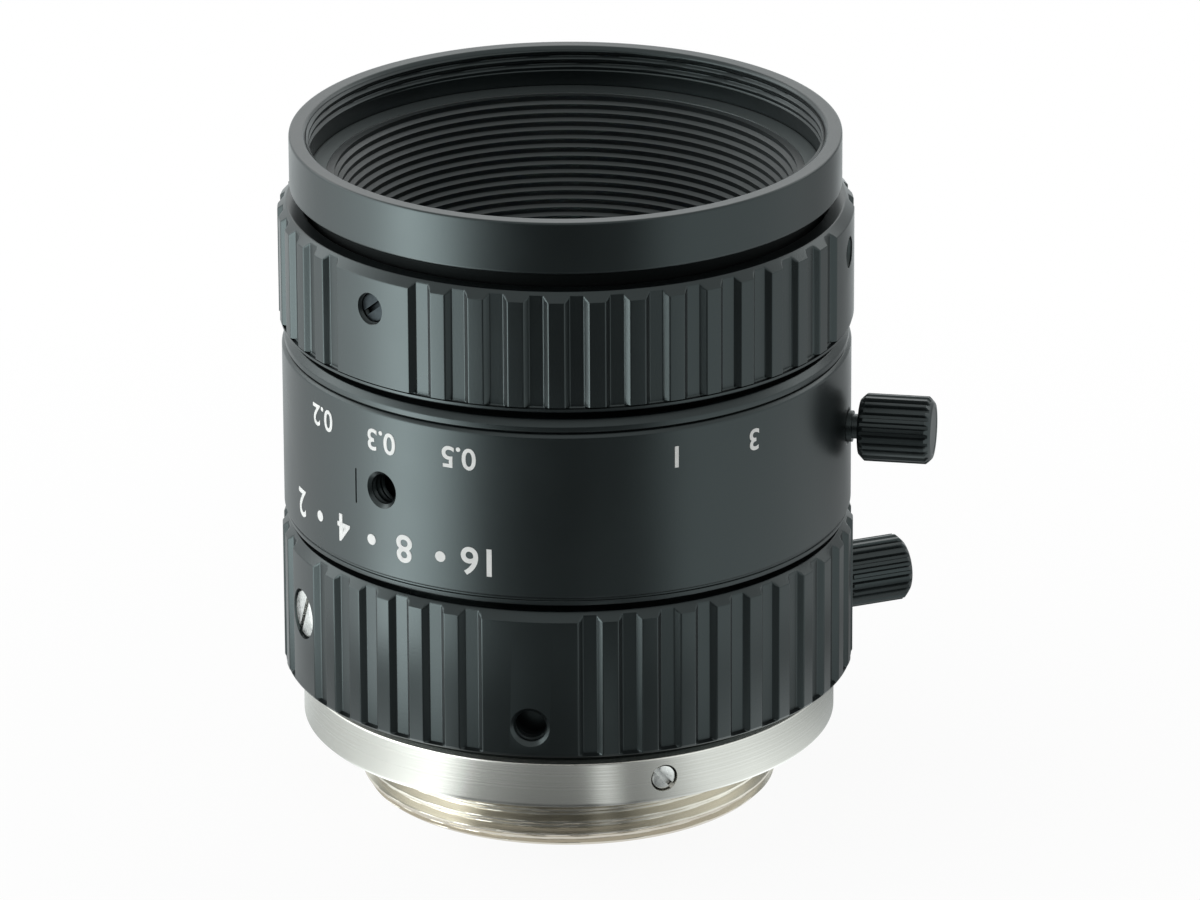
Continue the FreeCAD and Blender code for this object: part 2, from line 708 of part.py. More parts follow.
lock_screw(
    "focus_lock_screw",
    f"({helicoid_radius} + seat_clearance)",
    lock_level,
    "barrel_hole_angle + 120",
)
lock_screw(
    "iris_lock_screw",
    f"({sleeve_radius} + seat_clearance)",
    iris_hole_level,
    "iris_panel_angle + 120",
)

# Lens cell: the sliding tube that carries all of the glass, with a wider neck for the front ring.
cell = turned(
    "cell_barrel",
    (
        (cell_bore, cell_foot),
        (cell_radius, cell_foot),
        (cell_radius, head_foot),
        (head_radius, head_foot),
        (head_radius, head_top),
        (filter_bore, head_top),
        (head_bore, f"{head_top} - baffle_slope * (head_wall - head_step)"),
        (head_bore, f"{head_top} - baffle_flange - seat_clearance"),
        (cell_bore, f"{head_top} - baffle_flange - seat_clearance"),
        (cell_bore, cell_web_top),
        (f"{cell_bore} - web_depth", cell_web_top),
        (f"{cell_bore} - web_depth", f"{base_top} + seat_clearance"),
        (cell_bore, f"{base_top} + seat_clearance"),
    ),
)
window(
    cell,
    "cell_drive_window",
    f"{cell_bore} - 0.3",
    f"{cell_radius} + 0.3",
    f"{drive_level} - focus_out - drive_pin_radius - stop_gap",
    fork_top,
    drive_middle,
    drive_sweep,
)
window(
    cell,
    "key_slot",
    f"{cell_bore} - 0.3",
    f"{cell_radius} + 0.3",
    f"{key_level} - focus_out - key_radius - slide_clearance",
    f"{key_level} + focus_in + key_radius + slide_clearance",
    "key_angle",
    f"2 * asin((key_radius + slide_clearance) / {cell_bore})",
)

# Front ring: screwed on the neck, with the filter thread in its mouth.
turned(
    "front_ring",
    (
        (front_bore, front_foot),
        (f"{front_radius} - edge_break", front_foot),
        (front_radius, f"{front_foot} + edge_break"),
        (front_radius, f"{front_top} - edge_break"),
        (f"{front_radius} - edge_break", front_top),
        (f"{filter_bore} + filter_chamfer", front_top),
        (filter_bore, f"{front_top} - filter_chamfer"),
        (filter_bore, head_top),
        (front_bore, head_top),
    ),
)

def primitive(kind, name, **values):
    """A simple solid whose named properties are bound to the sheet."""
    solid = doc.addObject(f"Part::{kind}", name)
    for key_name, text in values.items():
        solid.setExpression(key_name.replace("__", "."), bound(text))
    return solid


def surface_radius(radius, sag):
    """Radius of the sphere whose cap of that edge radius is as high as the sag."""
    return f"(({radius} ^ 2 + {abs(sag)} ^ 2) / (2 * {abs(sag)}))"


def surface_rise(radius, sag, inner):
    """How far a bulging surface stands over its edge where a ring of that inner radius touches it."""
    ball_radius = surface_radius(radius, sag)
    return f"(sqrt({ball_radius} ^ 2 - ({inner}) ^ 2) - sqrt({ball_radius} ^ 2 - {radius} ^ 2))"


def lens_surface(blank, name, radius, edge, sag, front):
    """Grinds one spherical surface of the given sag on the blank and returns the new solid. A sag above
    zero puts the middle of the surface nearer the front than its edge."""
    hollow = (sag < 0) == front
    reach = f"({radius} - lens_rim)" if hollow else radius
    side = "-" if sag > 0 else "+"
    ball_radius = surface_radius(radius, sag)
    centre = f"{edge} {side} sqrt({ball_radius} ^ 2 - {reach} ^ 2)"
    ball = primitive("Sphere", f"{name}_ball", Radius=ball_radius, Placement__Base__z=centre)
    ground = doc.addObject("Part::Cut" if hollow else "Part::Common", name)
    ground.Base = blank
    ground.Tool = ball
    return ground


def lens_element(label, radius, rear_edge, front_edge, rear_sag, front_sag):
    """A ground glass element between two edge levels."""
    low = rear_edge if rear_sag > 0 else f"({rear_edge} - {2 * abs(rear_sag)})"
    high = front_edge if front_sag < 0 else f"({front_edge} + {2 * front_sag})"
    blank = primitive(
        "Cylinder", f"{label}_blank", Radius=radius, Height=f"{high} - {low}", Placement__Base__z=low
    )
    rear = lens_surface(blank, f"{label}_rear", radius, rear_edge, rear_sag, False)
    element = lens_surface(rear, label, radius, front_edge, front_sag, True)
    element.Label = label
    return element


# Heights of the ground surfaces at their middle, rear surface then front surface, for each element.
FIRST_SAGS = (0.35, 0.9)
CROWN_SAGS = (-0.8, 0.45)
FLINT_SAGS = (1.3, -0.8)
REAR_FLINT_SAGS = (0.5, -1.2)
REAR_CROWN_SAGS = (-0.8, 0.5)
LAST_SAGS = (-0.8, 0.6)

# Front element cell, with the first element's bore above the doublet's. The levels are stacked up from the
# web: the doublet, the spacer, the first element, its retaining ring and the cell's rim.
doublet_foot = f"({cell_web_top} + stop_lip)"
doublet_top = f"({doublet_foot} + flint_edge + cement_gap + crown_edge)"
first_radius = f"({first_bore} - seat_clearance)"
doublet_radius = f"({doublet_bore} - seat_clearance)"
spacer_bore = f"({first_radius} - spacer_width)"
spacer_foot = f"({doublet_top} + {surface_rise(doublet_radius, CROWN_SAGS[1], spacer_bore)})"
spacer_top = f"({spacer_foot} + spacer_height)"
retainer_bore = f"({first_radius} - retainer_width)"
first_edge = f"({spacer_top} + front_edge_thickness)"
retainer_foot = f"({first_edge} + {surface_rise(first_radius, FIRST_SAGS[1], retainer_bore)})"
front_cell_top = f"({retainer_foot} + retainer_height + cell_rim)"
turned(
    "front_cell",
    (
        (f"{doublet_bore} - stop_lip", cell_web_top),
        (cell_seat, cell_web_top),
        (cell_seat, front_cell_top),
        (first_bore, front_cell_top),
        (first_bore, doublet_top),
        (doublet_bore, doublet_top),
        (doublet_bore, doublet_foot),
        (f"{doublet_bore} - stop_lip", doublet_foot),
    ),
)
turned(
    "front_spacer",
    (
        (spacer_bore, spacer_foot),
        (first_radius, spacer_foot),
        (first_radius, spacer_top),
        (spacer_bore, spacer_top),
    ),
)


def retaining_ring(label, radius, low, slot_low, slot_high):
    """A threaded ring that holds the glass in, with two spanner slots."""
    body = turned(
        label,
        (
            (f"{radius} - retainer_width", low),
            (radius, low),
            (radius, f"{low} + retainer_height"),
            (f"{radius} - retainer_width", f"{low} + retainer_height"),
        ),
    )
    window(
        body,
        f"{label}_slot",
        f"{radius} - retainer_width - 0.5",
        f"{radius} + 0.5",
        slot_low,
        slot_high,
        "0",
        "spanner_slot_angle",
        2,
    )
    return body


retaining_ring(
    "front_retaining_ring",
    first_radius,
    retainer_foot,
    f"{retainer_foot} + retainer_height - spanner_slot_depth",
    f"{retainer_foot} + retainer_height + 0.5",
)
lens_element("front_element_1", first_radius, spacer_top, first_edge, *FIRST_SAGS)
lens_element("front_element_2", doublet_radius, f"({doublet_top} - crown_edge)", doublet_top, *CROWN_SAGS)
lens_element("front_element_3", doublet_radius, doublet_foot, f"({doublet_foot} + flint_edge)", *FLINT_SAGS)

# Front baffle: a sloping ledge, then a cone of turned ribs that trap stray light.
baffle_radius = f"({head_bore} - seat_clearance)"
cone_radius = f"({baffle_radius} - baffle_ledge)"
ledge_top = f"({head_top} - baffle_slope * (head_wall - head_step + seat_clearance))"
cone_top = f"({ledge_top} - baffle_slope * baffle_ledge)"
baffle_foot = f"({front_cell_top} + slide_clearance)"
mouth_radius = f"({first_bore} - baffle_lip)"
rib_total = int(sheet.get("rib_count"))
rib_pitch = f"(({cone_top} - {baffle_foot}) / rib_count)"
rib_taper = f"(({cone_radius} - {mouth_radius}) / rib_count)"
baffle_outline = [
    (mouth_radius, baffle_foot),
    (cell_seat, baffle_foot),
    (cell_seat, f"{head_top} - baffle_flange"),
    (baffle_radius, f"{head_top} - baffle_flange"),
    (baffle_radius, ledge_top),
]
for rib in range(rib_total):
    crest = f"({cone_radius} - {rib} * {rib_taper})"
    level = f"({cone_top} - {rib} * {rib_pitch})"
    baffle_outline.append((crest, level))
    baffle_outline.append((f"{crest} - {rib_taper} + rib_depth", f"{level} - 0.35 * {rib_pitch}"))
turned("front_baffle", baffle_outline)

# Rear cell: screwed into the lens cell by its flange, it carries the rear glass and the cam ring.
rear_foot = f"({cell_foot} - rear_tube_length)"
rear_top = f"({cam_foot} - seat_clearance)"
rear_doublet_top = f"({rear_top} - rear_lip_height)"
turned(
    "rear_cell",
    (
        (rear_bore, rear_foot),
        (rear_tube_radius, rear_foot),
        (rear_tube_radius, cell_foot),
        (cell_seat, cell_foot),
        (cell_seat, rear_flange_top),
        (rear_cell_radius, rear_flange_top),
        (rear_cell_radius, rear_top),
        (f"{rear_bore} - rear_lip", rear_top),
        (f"{rear_bore} - rear_lip", rear_doublet_top),
        (rear_bore, rear_doublet_top),
    ),
)
rear_radius = f"({rear_bore} - seat_clearance)"
rear_flint_foot = f"({rear_doublet_top} - flint_edge)"
rear_crown_top = f"({rear_flint_foot} - cement_gap)"
rear_crown_foot = f"({rear_crown_top} - crown_edge)"
rear_spacer_bore = f"({rear_radius} - spacer_width / 2)"
rear_spacer_top = f"({rear_crown_foot} - {surface_rise(rear_radius, REAR_CROWN_SAGS[0], rear_spacer_bore)})"
rear_spacer_foot = f"({rear_spacer_top} - rear_spacer_height)"
rear_last_top = f"({rear_spacer_foot} - {surface_rise(rear_radius, LAST_SAGS[1], rear_spacer_bore)})"
rear_last_foot = f"({rear_last_top} - rear_edge_thickness)"
lens_element("rear_element_1", rear_radius, rear_flint_foot, rear_doublet_top, *REAR_FLINT_SAGS)
lens_element("rear_element_2", rear_radius, rear_crown_foot, rear_crown_top, *REAR_CROWN_SAGS)
turned(
    "rear_spacer",
    (
        (rear_spacer_bore, rear_spacer_foot),
        (rear_radius, rear_spacer_foot),
        (rear_radius, rear_spacer_top),
        (rear_spacer_bore, rear_spacer_top),
    ),
)
lens_element("rear_element_3", rear_radius, rear_last_foot, rear_last_top, *LAST_SAGS)
rear_retainer_bore = f"({rear_radius} - retainer_width)"
rear_retainer_top = f"({rear_last_foot} - {surface_rise(rear_radius, LAST_SAGS[0], rear_retainer_bore)})"
rear_retainer_foot = f"({rear_retainer_top} - retainer_height)"
retaining_ring(
    "rear_retaining_ring",
    rear_radius,
    rear_retainer_foot,
    f"{rear_retainer_foot} - 0.5",
    f"{rear_retainer_foot} + spanner_slot_depth",
)

# Iris base: a cup with a pivot hole for each blade, seated under the cell's web.
base = turned(
    "iris_base_blank",
    (
        ("base_aperture", base_foot),
        (f"{skirt_radius} + slide_clearance", base_foot),
        (f"{skirt_radius} + slide_clearance", f"{cam_foot} + seat_clearance"),
        (cell_seat, f"{cam_foot} + seat_clearance"),
        (cell_seat, f"{base_top}"),
        ("base_aperture", f"{base_top}"),
    ),
)


def hole_drill(name, radius, across, low, high, angle):
    """A round drill parallel to the lens axis."""
    return primitive(
        "Cylinder",
        name,
        Radius=radius,
        Height=f"({high}) - ({low})",
        Placement__Base__x=f"{across} * cos({angle})",
        Placement__Base__y=f"{across} * sin({angle})",
        Placement__Base__z=low,
    )


def joined(name, solids):
    """One shape out of several that touch or repeat."""
    fuse = doc.addObject("Part::MultiFuse", name)
    fuse.Shapes = solids
    return fuse


def cut_away(label, base, tool):
    """The piece that is left when the tool is taken from its blank."""
    piece = doc.addObject("Part::Cut", label)
    piece.Base = base
    piece.Tool = tool
    piece.Label = label
    return piece


BLADE_ANGLES = [360 / BLADE_COUNT * i for i in range(BLADE_COUNT)]
drill_low = f"{base_foot} - 0.5"
drill_high = f"{base_top} + 0.5"
pivot_holes = joined(
    "pivot_holes",
    [
        hole_drill(f"pivot_hole_{i}", blade_pin_hole, pivot_radius, drill_low, drill_high, angle)
        for i, angle in enumerate(BLADE_ANGLES)
    ],
)
cut_away("iris_base", base, pivot_holes)

# Iris blades: thin crescents, each on its own level, with a pivot pin in the base and a drive pin in the cam.
arm_angle = f"acos(({drive_start} ^ 2 - {pivot_radius} ^ 2 - drive_arm ^ 2) / (2 * {pivot_radius} * drive_arm))"
drive_x = f"({pivot_radius} + drive_arm * cos({arm_angle}))"
drive_y = f"(drive_arm * sin({arm_angle}))"


def iris_blade(number, angle):
    """One blade, drawn with its pivot on the X axis and turned to its place round the lens."""
    label = f"iris_blade_{number + 1}"
    level = f"({blade_level} + {number} * blade_step)"
    outside = primitive(
        "Cylinder",
        f"{label}_outside",
        Radius=blade_radius,
        Height="blade_thickness",
        Angle="blade_arc",
        Placement__Base__z=level,
    )
    inside = primitive(
        "Cylinder",
        f"{label}_inside",
        Radius=f"{blade_radius} - blade_width",
        Height="3 * blade_thickness",
        Placement__Base__z=f"{level} - blade_thickness",
    )
    crescent = cut_away(f"{label}_crescent", outside, inside)
    heel = primitive(
        "Box",
        f"{label}_heel",
        Length=f"{pivot_radius} - {blade_radius} + blade_width / 2",
        Width="4 * blade_pin_radius",
        Height="blade_thickness",
        Placement__Base__x=f"{blade_radius} - blade_width / 2",
        Placement__Base__z=level,
    )
    arm = primitive(
        "Box",
        f"{label}_arm",
        Length="drive_arm",
        Width="4 * blade_pin_radius",
        Height="blade_thickness",
        Placement__Base__x=f"{pivot_radius} + 2 * blade_pin_radius * sin({arm_angle})",
        Placement__Base__y=f"-2 * blade_pin_radius * cos({arm_angle})",
        Placement__Base__z=level,
        Placement__Rotation__Angle=arm_angle,
    )
    eyes = [
        primitive(
            "Cylinder",
            f"{label}_{end}_eye",
            Radius="2 * blade_pin_radius",
            Height="blade_thickness",
            Placement__Base__x=x,
            Placement__Base__y=y,
            Placement__Base__z=level,
        )
        for end, x, y in (("pivot", pivot_radius, "0"), ("drive", drive_x, drive_y))
    ]
    pivot_pin = primitive(
        "Cylinder",
        f"{label}_pivot_pin",
        Radius="blade_pin_radius",
        Height=f"{base_top} - slide_clearance - {level}",
        Placement__Base__x=pivot_radius,
        Placement__Base__z=level,
    )
    drive_pin = primitive(
        "Cylinder",
        f"{label}_drive_pin",
        Radius="blade_pin_radius",
        Height=f"{level} + blade_thickness - {cam_foot} - seat_clearance",
        Placement__Base__x=drive_x,
        Placement__Base__y=drive_y,
        Placement__Base__z=f"{cam_foot} + seat_clearance",
    )
    blade = joined(label, [crescent, heel, arm, *eyes, pivot_pin, drive_pin])
    blade.Label = label
    blade.Placement = FreeCAD.Placement(FreeCAD.Vector(), FreeCAD.Rotation(FreeCAD.Vector(0, 0, 1), angle))


for blade_number, blade_angle in enumerate(BLADE_ANGLES):
    iris_blade(blade_number, blade_angle)

# Cam ring: a disc with one spiral slot for each drive pin, on a skirt whose fork takes the drive screw.
cam = turned(
    "iris_cam_blank",
    (
        (f"{skirt_radius} - cam_width", cam_foot),
        (skirt_bore, cam_foot),
        (skirt_bore, skirt_foot),
        (skirt_radius, skirt_foot),
        (skirt_radius, cam_top),
        (f"{skirt_radius} - cam_width", cam_top),
    ),
)
window(
    cam,
    "drive_fork",
    f"{skirt_bore} - 0.01",
    f"{skirt_radius} + 0.5",
    f"{skirt_foot} - 0.5",
    fork_top,
    drive_angle,
    f"2 * asin((drive_pin_radius + slide_clearance) / {skirt_bore})",
)
doc.recompute()


def drive_pin_place(share):
    """Where the first blade's drive pin stands in the turning cam ring, after a share of the iris ring's
    turn: the pin swings round its pivot while the cam turns under it at a steady ratio."""
    pivot = doc.getObject("iris_blade_1_pivot_pin").Placement.Base
    start = doc.getObject("iris_blade_1_drive_pin").Placement.Base
    lens = FreeCAD.Vector(0, 0, 1)
    arm = FreeCAD.Vector(start.x - pivot.x, start.y - pivot.y, 0)
    swung = FreeCAD.Rotation(lens, sheet.get("blade_swing") * share).multVec(arm)
    here = FreeCAD.Vector(pivot.x + swung.x, pivot.y + swung.y, 0)
    return FreeCAD.Rotation(lens, -sheet.get("iris_turn") * share).multVec(here)


def cam_slot():
    """The drive pin's path through the cam ring as an arc, widened to the pin and its clearance."""
    path = [drive_pin_place(share) for share in (0, 0.5, 1)]
    centre = Part.Arc(*path).toShape().Curve.Center
    half = sheet.get("blade_pin_radius") + sheet.get("slide_clearance")
    outward = [(place - centre).normalize() * half for place in path]
    ahead = FreeCAD.Vector(0, 0, 1).cross(outward[0])
    if ahead.dot(path[1] - path[0]) < 0:
        ahead = -ahead
    beyond = FreeCAD.Rotation(outward[0], outward[2]).multVec(ahead)
    far_side = Part.Arc(*[place + side for place, side in zip(path, outward)])
    near_side = Part.Arc(*[place - side for place, side in zip(reversed(path), reversed(outward))])
    start_cap = Part.Arc(path[0] - outward[0], path[0] - ahead, path[0] + outward[0])
    end_cap = Part.Arc(path[2] + outward[2], path[2] + beyond, path[2] - outward[2])
    edges = [curve.toShape() for curve in (far_side, end_cap, near_side, start_cap)]
    return Part.Face(Part.Wire(edges))


cam_box = cam.Shape.BoundBox
slot_face = cam_slot()
slot_face.translate(FreeCAD.Vector(0, 0, cam_box.ZMin))
slot_cutters = []
for blade_angle in BLADE_ANGLES:
    cutter = slot_face.extrude(FreeCAD.Vector(0, 0, 2 * cam_box.ZLength))
    cutter.rotate(FreeCAD.Vector(), FreeCAD.Vector(0, 0, 1), blade_angle)
    slot_cutters.append(cutter)
cam_slots = doc.addObject("Part::Feature", "cam_slots")
cam_slots.Shape = Part.makeCompound(slot_cutters)
cut_away("iris_cam_ring", cam, cam_slots)

# Every feature has to compute, every cut has to remove something, and every piece has to be sound.
doc.recompute()
for feature in doc.Objects:
    if "Invalid" in feature.State or "Error" in feature.State:
        raise RuntimeError(f"{feature.Name} failed")
    if feature.TypeId in ("PartDesign::Groove", "PartDesign::Pocket"):
        if feature.Shape.Volume >= feature.BaseFeature.Shape.Volume:
            raise RuntimeError(f"{feature.Name} cuts nothing")

pieces = [item for item in doc.Objects if item.isDerivedFrom("Part::Feature") and not item.InList]
for piece in pieces:
    if piece.Shape.isNull() or not piece.Shape.isValid():
        raise RuntimeError(f"{piece.Label} is not a sound solid")

os.makedirs("parts", exist_ok=True)
for piece in pieces:
    piece.Shape.exportStep(f"parts/{piece.Label}.step")
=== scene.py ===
import math

import bmesh
import bpy
import numpy as np
from mathutils import Matrix, Vector


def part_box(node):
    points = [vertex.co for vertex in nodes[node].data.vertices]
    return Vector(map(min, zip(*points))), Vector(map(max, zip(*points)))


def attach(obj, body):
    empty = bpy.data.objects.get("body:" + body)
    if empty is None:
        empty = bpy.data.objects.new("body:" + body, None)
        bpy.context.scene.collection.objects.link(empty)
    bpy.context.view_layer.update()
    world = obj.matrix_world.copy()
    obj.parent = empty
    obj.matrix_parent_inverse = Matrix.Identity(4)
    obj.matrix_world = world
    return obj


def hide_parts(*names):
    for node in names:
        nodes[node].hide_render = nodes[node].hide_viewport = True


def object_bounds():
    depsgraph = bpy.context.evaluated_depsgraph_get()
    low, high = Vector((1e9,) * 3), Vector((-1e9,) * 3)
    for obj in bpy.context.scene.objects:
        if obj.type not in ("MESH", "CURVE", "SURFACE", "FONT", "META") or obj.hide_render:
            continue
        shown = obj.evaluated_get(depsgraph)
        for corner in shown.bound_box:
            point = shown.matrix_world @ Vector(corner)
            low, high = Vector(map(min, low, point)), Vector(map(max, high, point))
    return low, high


# A small manual lens for machine vision cameras: satin black rings on a nickel-plated C-mount.
# Numpy shapes are worked out in millimetres, with the lens axis on Z and the flange seat at zero,
# and an angle round the lens counts from -Y, the side that faces the camera, towards +X.
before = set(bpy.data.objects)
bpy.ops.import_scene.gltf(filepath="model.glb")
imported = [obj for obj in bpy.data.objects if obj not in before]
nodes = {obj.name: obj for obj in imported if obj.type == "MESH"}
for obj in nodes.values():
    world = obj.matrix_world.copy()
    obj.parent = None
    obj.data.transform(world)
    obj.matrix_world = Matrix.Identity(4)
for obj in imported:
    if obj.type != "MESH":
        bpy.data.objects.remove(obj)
cad_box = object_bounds()

# Camera: a long lens that looks down on the standing part by about 21 degrees. The lens axis crosses the
# middle row of the picture at LOOK_LEVEL and stands a little left of the middle column.
MM = 0.001
LOOK_LEVEL = 16.75
VIEW_DISTANCE = 586.9
VIEW_DROP = math.radians(21.08)
VIEW_ROLL = math.radians(-0.364)
PICTURE_WIDTH = 1200
AXIS_COLUMN = 567.4
SENSOR_WIDTH = 36.0
FOCAL_LENGTH = 290.2
CLIP_NEAR, CLIP_FAR = 0.05, 10

forward = Vector((0, math.cos(VIEW_DROP), -math.sin(VIEW_DROP)))
level_right = Vector((1, 0, 0))
level_up = level_right.cross(forward)
right = level_right * math.cos(VIEW_ROLL) + level_up * math.sin(VIEW_ROLL)
up = level_up * math.cos(VIEW_ROLL) - level_right * math.sin(VIEW_ROLL)
stand_point = (Vector((0, 0, LOOK_LEVEL)) - forward * VIEW_DISTANCE) * MM
camera_data = bpy.data.cameras.new("camera")
camera_data.sensor_width = SENSOR_WIDTH
camera_data.lens = FOCAL_LENGTH
camera_data.shift_x = (PICTURE_WIDTH / 2 - AXIS_COLUMN) / PICTURE_WIDTH
camera_data.clip_start = CLIP_NEAR
camera_data.clip_end = CLIP_FAR
camera = bpy.data.objects.new("camera", camera_data)
camera.matrix_world = Matrix((
    (right.x, up.x, -forward.x, stand_point.x),
    (right.y, up.y, -forward.y, stand_point.y),
    (right.z, up.z, -forward.z, stand_point.z),
    (0, 0, 0, 1),
))
bpy.context.scene.collection.objects.link(camera)
bpy.context.scene.camera = camera
bpy.context.scene.view_settings.view_transform = "Standard"


# Studio: a white room for whatever looks at it, with a soft light level for what it lights.
# The room is white to the camera, to reflections and through glass, and a dim grey to rough surfaces.
def linear(code, alpha=1.0):
    """Linear colour of an sRGB hex code: the standard curve, a straight foot and then a power of 2.4."""
    srgb = np.array([int(code[i:i + 2], 16) for i in (1, 3, 5)]) / 255
    flat = np.where(srgb <= 0.04045, srgb / 12.92, ((srgb + 0.055) / 1.055) ** 2.4)
    return (*flat.tolist(), alpha)


def add(tree, kind, inputs=(), **settings):
    """Adds one node with its settings. An input given as another node's socket is linked, any other is set."""
    made = tree.nodes.new(kind)
    for name, value in settings.items():
        setattr(made, name, value)
    for name, value in dict(inputs).items():
        if isinstance(value, bpy.types.NodeSocket):
            tree.links.new(value, made.inputs[name])
        else:
            made.inputs[name].default_value = value
    return made


def looks(tree):
    """Socket that is 1 for the camera, for reflections and through glass, and 0 for light that spreads."""
    rays = add(tree, "ShaderNodeLightPath")
    mirrored = add(tree, "ShaderNodeMath", {0: rays.outputs["Is Camera Ray"], 1: rays.outputs["Is Glossy Ray"]},
                   operation="MAXIMUM")
    return add(tree, "ShaderNodeMath", {0: mirrored.outputs[0], 1: rays.outputs["Is Transmission Ray"]},
               operation="MAXIMUM").outputs[0]


ROOM_WHITE = linear("#ffffff")
ROOM_LIGHT = 0.45
world = bpy.data.worlds.new("white_room")
bpy.context.scene.world = world
world.use_nodes = True
tree = world.node_tree
tree.nodes.clear()
dim = add(tree, "ShaderNodeBackground", {"Color": ROOM_WHITE, "Strength": ROOM_LIGHT})
bright = add(tree, "ShaderNodeBackground", {"Color": ROOM_WHITE, "Strength": 1.0})
room = add(tree, "ShaderNodeMixShader", {0: looks(tree), 1: dim.outputs[0], 2: bright.outputs[0]})
add(tree, "ShaderNodeOutputWorld", {"Surface": room.outputs[0]})

# Table: a pale matt sheet under the part. Near the part it keeps a share of its own shading, so the part's
# shadow stays, and further out it runs into the white room. Sizes of the studio are in metres.
TABLE_SIZE = 1.2
SHADOW_SHARE = 0.09
SHADOW_REACH = 0.09
table_level = cad_box[0].z
table_mesh = bpy.data.meshes.new("table")
half = TABLE_SIZE / 2
table_mesh.from_pydata([(-half, -half, table_level), (half, -half, table_level), (half, half, table_level),
                        (-half, half, table_level)], [], [(0, 1, 2, 3)])
table = bpy.data.objects.new("table", table_mesh)
bpy.context.scene.collection.objects.link(table)
matt_sheet = bpy.data.materials.new("matt_white_sheet")
matt_sheet.use_nodes = True
tree = matt_sheet.node_tree
tree.nodes.clear()
place = add(tree, "ShaderNodeTexCoord")
distance = add(tree, "ShaderNodeVectorMath", {0: place.outputs["Object"]}, operation="LENGTH")
fade = add(tree, "ShaderNodeMapRange", {"Value": distance.outputs["Value"], "From Min": 0.0,
                                        "From Max": SHADOW_REACH, "To Min": 1 - SHADOW_SHARE, "To Max": 1.0})
white_share = add(tree, "ShaderNodeMath", {0: looks(tree), 1: fade.outputs[0]}, operation="MULTIPLY")
shaded = add(tree, "ShaderNodeBsdfDiffuse", {"Color": linear("#f4f4f2")})
glowing = add(tree, "ShaderNodeEmission", {"Color": ROOM_WHITE, "Strength": 1.0})
sheet = add(tree, "ShaderNodeMixShader", {0: white_share.outputs[0], 1: shaded.outputs[0], 2: glowing.outputs[0]})
add(tree, "ShaderNodeOutputMaterial", {"Surface": sheet.outputs[0]})
table_mesh.materials.append(matt_sheet)


# Soft boxes: a large one on the left makes the broad sheen of the rings' left side, a weaker one on the
# right lifts the other side, and one overhead draws the thin lines of light on the upper edges.
def soft_box(name, angle, distance, level, width, height, radiance, tint):
    """A rectangle of light turned towards the part, its power worked out from the radiance asked for."""
    lamp = bpy.data.lights.new(name, "AREA")
    lamp.shape = "RECTANGLE"
    lamp.size = width
    lamp.size_y = height
    lamp.energy = radiance * math.pi * width * height
    lamp.color = linear(tint)[:3]
    box = bpy.data.objects.new(name, lamp)
    spot = Vector((distance * math.sin(math.radians(angle)), -distance * math.cos(math.radians(angle)), level))
    box.location = spot
    box.rotation_euler = (spot - Vector((0, 0, LOOK_LEVEL * MM))).to_track_quat("Z", "Y").to_euler()
    box.visible_camera = False
    bpy.context.scene.collection.objects.link(box)


soft_box("left_box", angle=-100, distance=0.40, level=0.16, width=0.50, height=0.34, radiance=2.6, tint="#fbfeff")
soft_box("right_box", angle=118, distance=0.45, level=0.14, width=0.30, height=0.34, radiance=1.3, tint="#ffffff")
soft_box("top_box", angle=176, distance=0.36, level=0.32, width=0.46, height=0.26, radiance=1.2, tint="#ffffff")

# Light tent: a low screen all round the part that only its reflections see. It is bright on the left, dark on
# the side that faces the camera, with a thin gap of light there, and white elsewhere. Close to the part it is
# the table, which the left lamp lights less, and at its foot it is in the part's own shade.
# Each row of the screen's light gives an angle, then the light at the part's foot, near it, further out and
# far out. Each point of the profile gives a distance from the lens axis and a height over the table.
TENT_LIGHT = np.array([
    (-180, 0.70, 0.68, 0.75, 1.20),
    (-156, 0.70, 0.78, 0.72, 1.10),
    (-140, 0.70, 0.80, 0.68, 1.10),
    (-120, 0.75, 0.90, 0.85, 1.00),
    (-100, 0.60, 0.68, 1.20, 1.90),
    (-80, 0.70, 0.84, 2.10, 3.40),
    (-64, 1.60, 0.62, 7.00, 8.00),
    (-50, 2.20, 1.05, 6.00, 5.50),
    (-40, 2.60, 1.42, 3.20, 2.10),
    (-30, 0.34, 0.36, 0.90, 0.22),
    (-12, 0.09, 0.25, 0.30, 0.11),
    (6, 0.09, 0.26, 0.30, 0.11),
    (10, 0.33, 1.28, 0.50, 0.25),
    (13, 0.33, 1.05, 0.50, 0.25),
    (17, 0.14, 0.22, 0.30, 0.12),
    (28, 0.65, 0.36, 0.50, 0.28),
    (42, 1.20, 1.00, 1.60, 1.45),
    (60, 1.70, 0.92, 1.45, 1.30),
    (100, 0.80, 0.28, 0.95, 0.95),
    (120, 0.40, 0.28, 0.50, 0.50),
    (140, 0.25, 0.16, 0.40, 0.42),
    (160, 0.40, 0.36, 1.00, 1.25),
    (180, 0.66, 0.62, 0.75, 1.20),
])
FOOT, NEAR, FURTHER, FAR = 1, 2, 3, 4
TENT_PROFILE = np.array([(0.0135, 0.0004), (0.032, 0.0004), (0.045, 0.0004), (0.12, 0.0004), (0.16, 0.02),
                         (0.18, 0.09)])
TENT_COLUMNS = 361
angle = np.linspace(-180, 180, TENT_COLUMNS)
turn = np.radians(angle)
points = np.stack([np.outer(TENT_PROFILE[:, 0], np.sin(turn)), -np.outer(TENT_PROFILE[:, 0], np.cos(turn)),
                   np.repeat(TENT_PROFILE[:, 1:] + table_level, TENT_COLUMNS, 1)], -1)
index = np.arange(points.shape[0] * TENT_COLUMNS).reshape(-1, TENT_COLUMNS)
faces = np.stack([index[:-1, :-1], index[:-1, 1:], index[1:, 1:], index[1:, :-1]], -1).reshape(-1, 4)
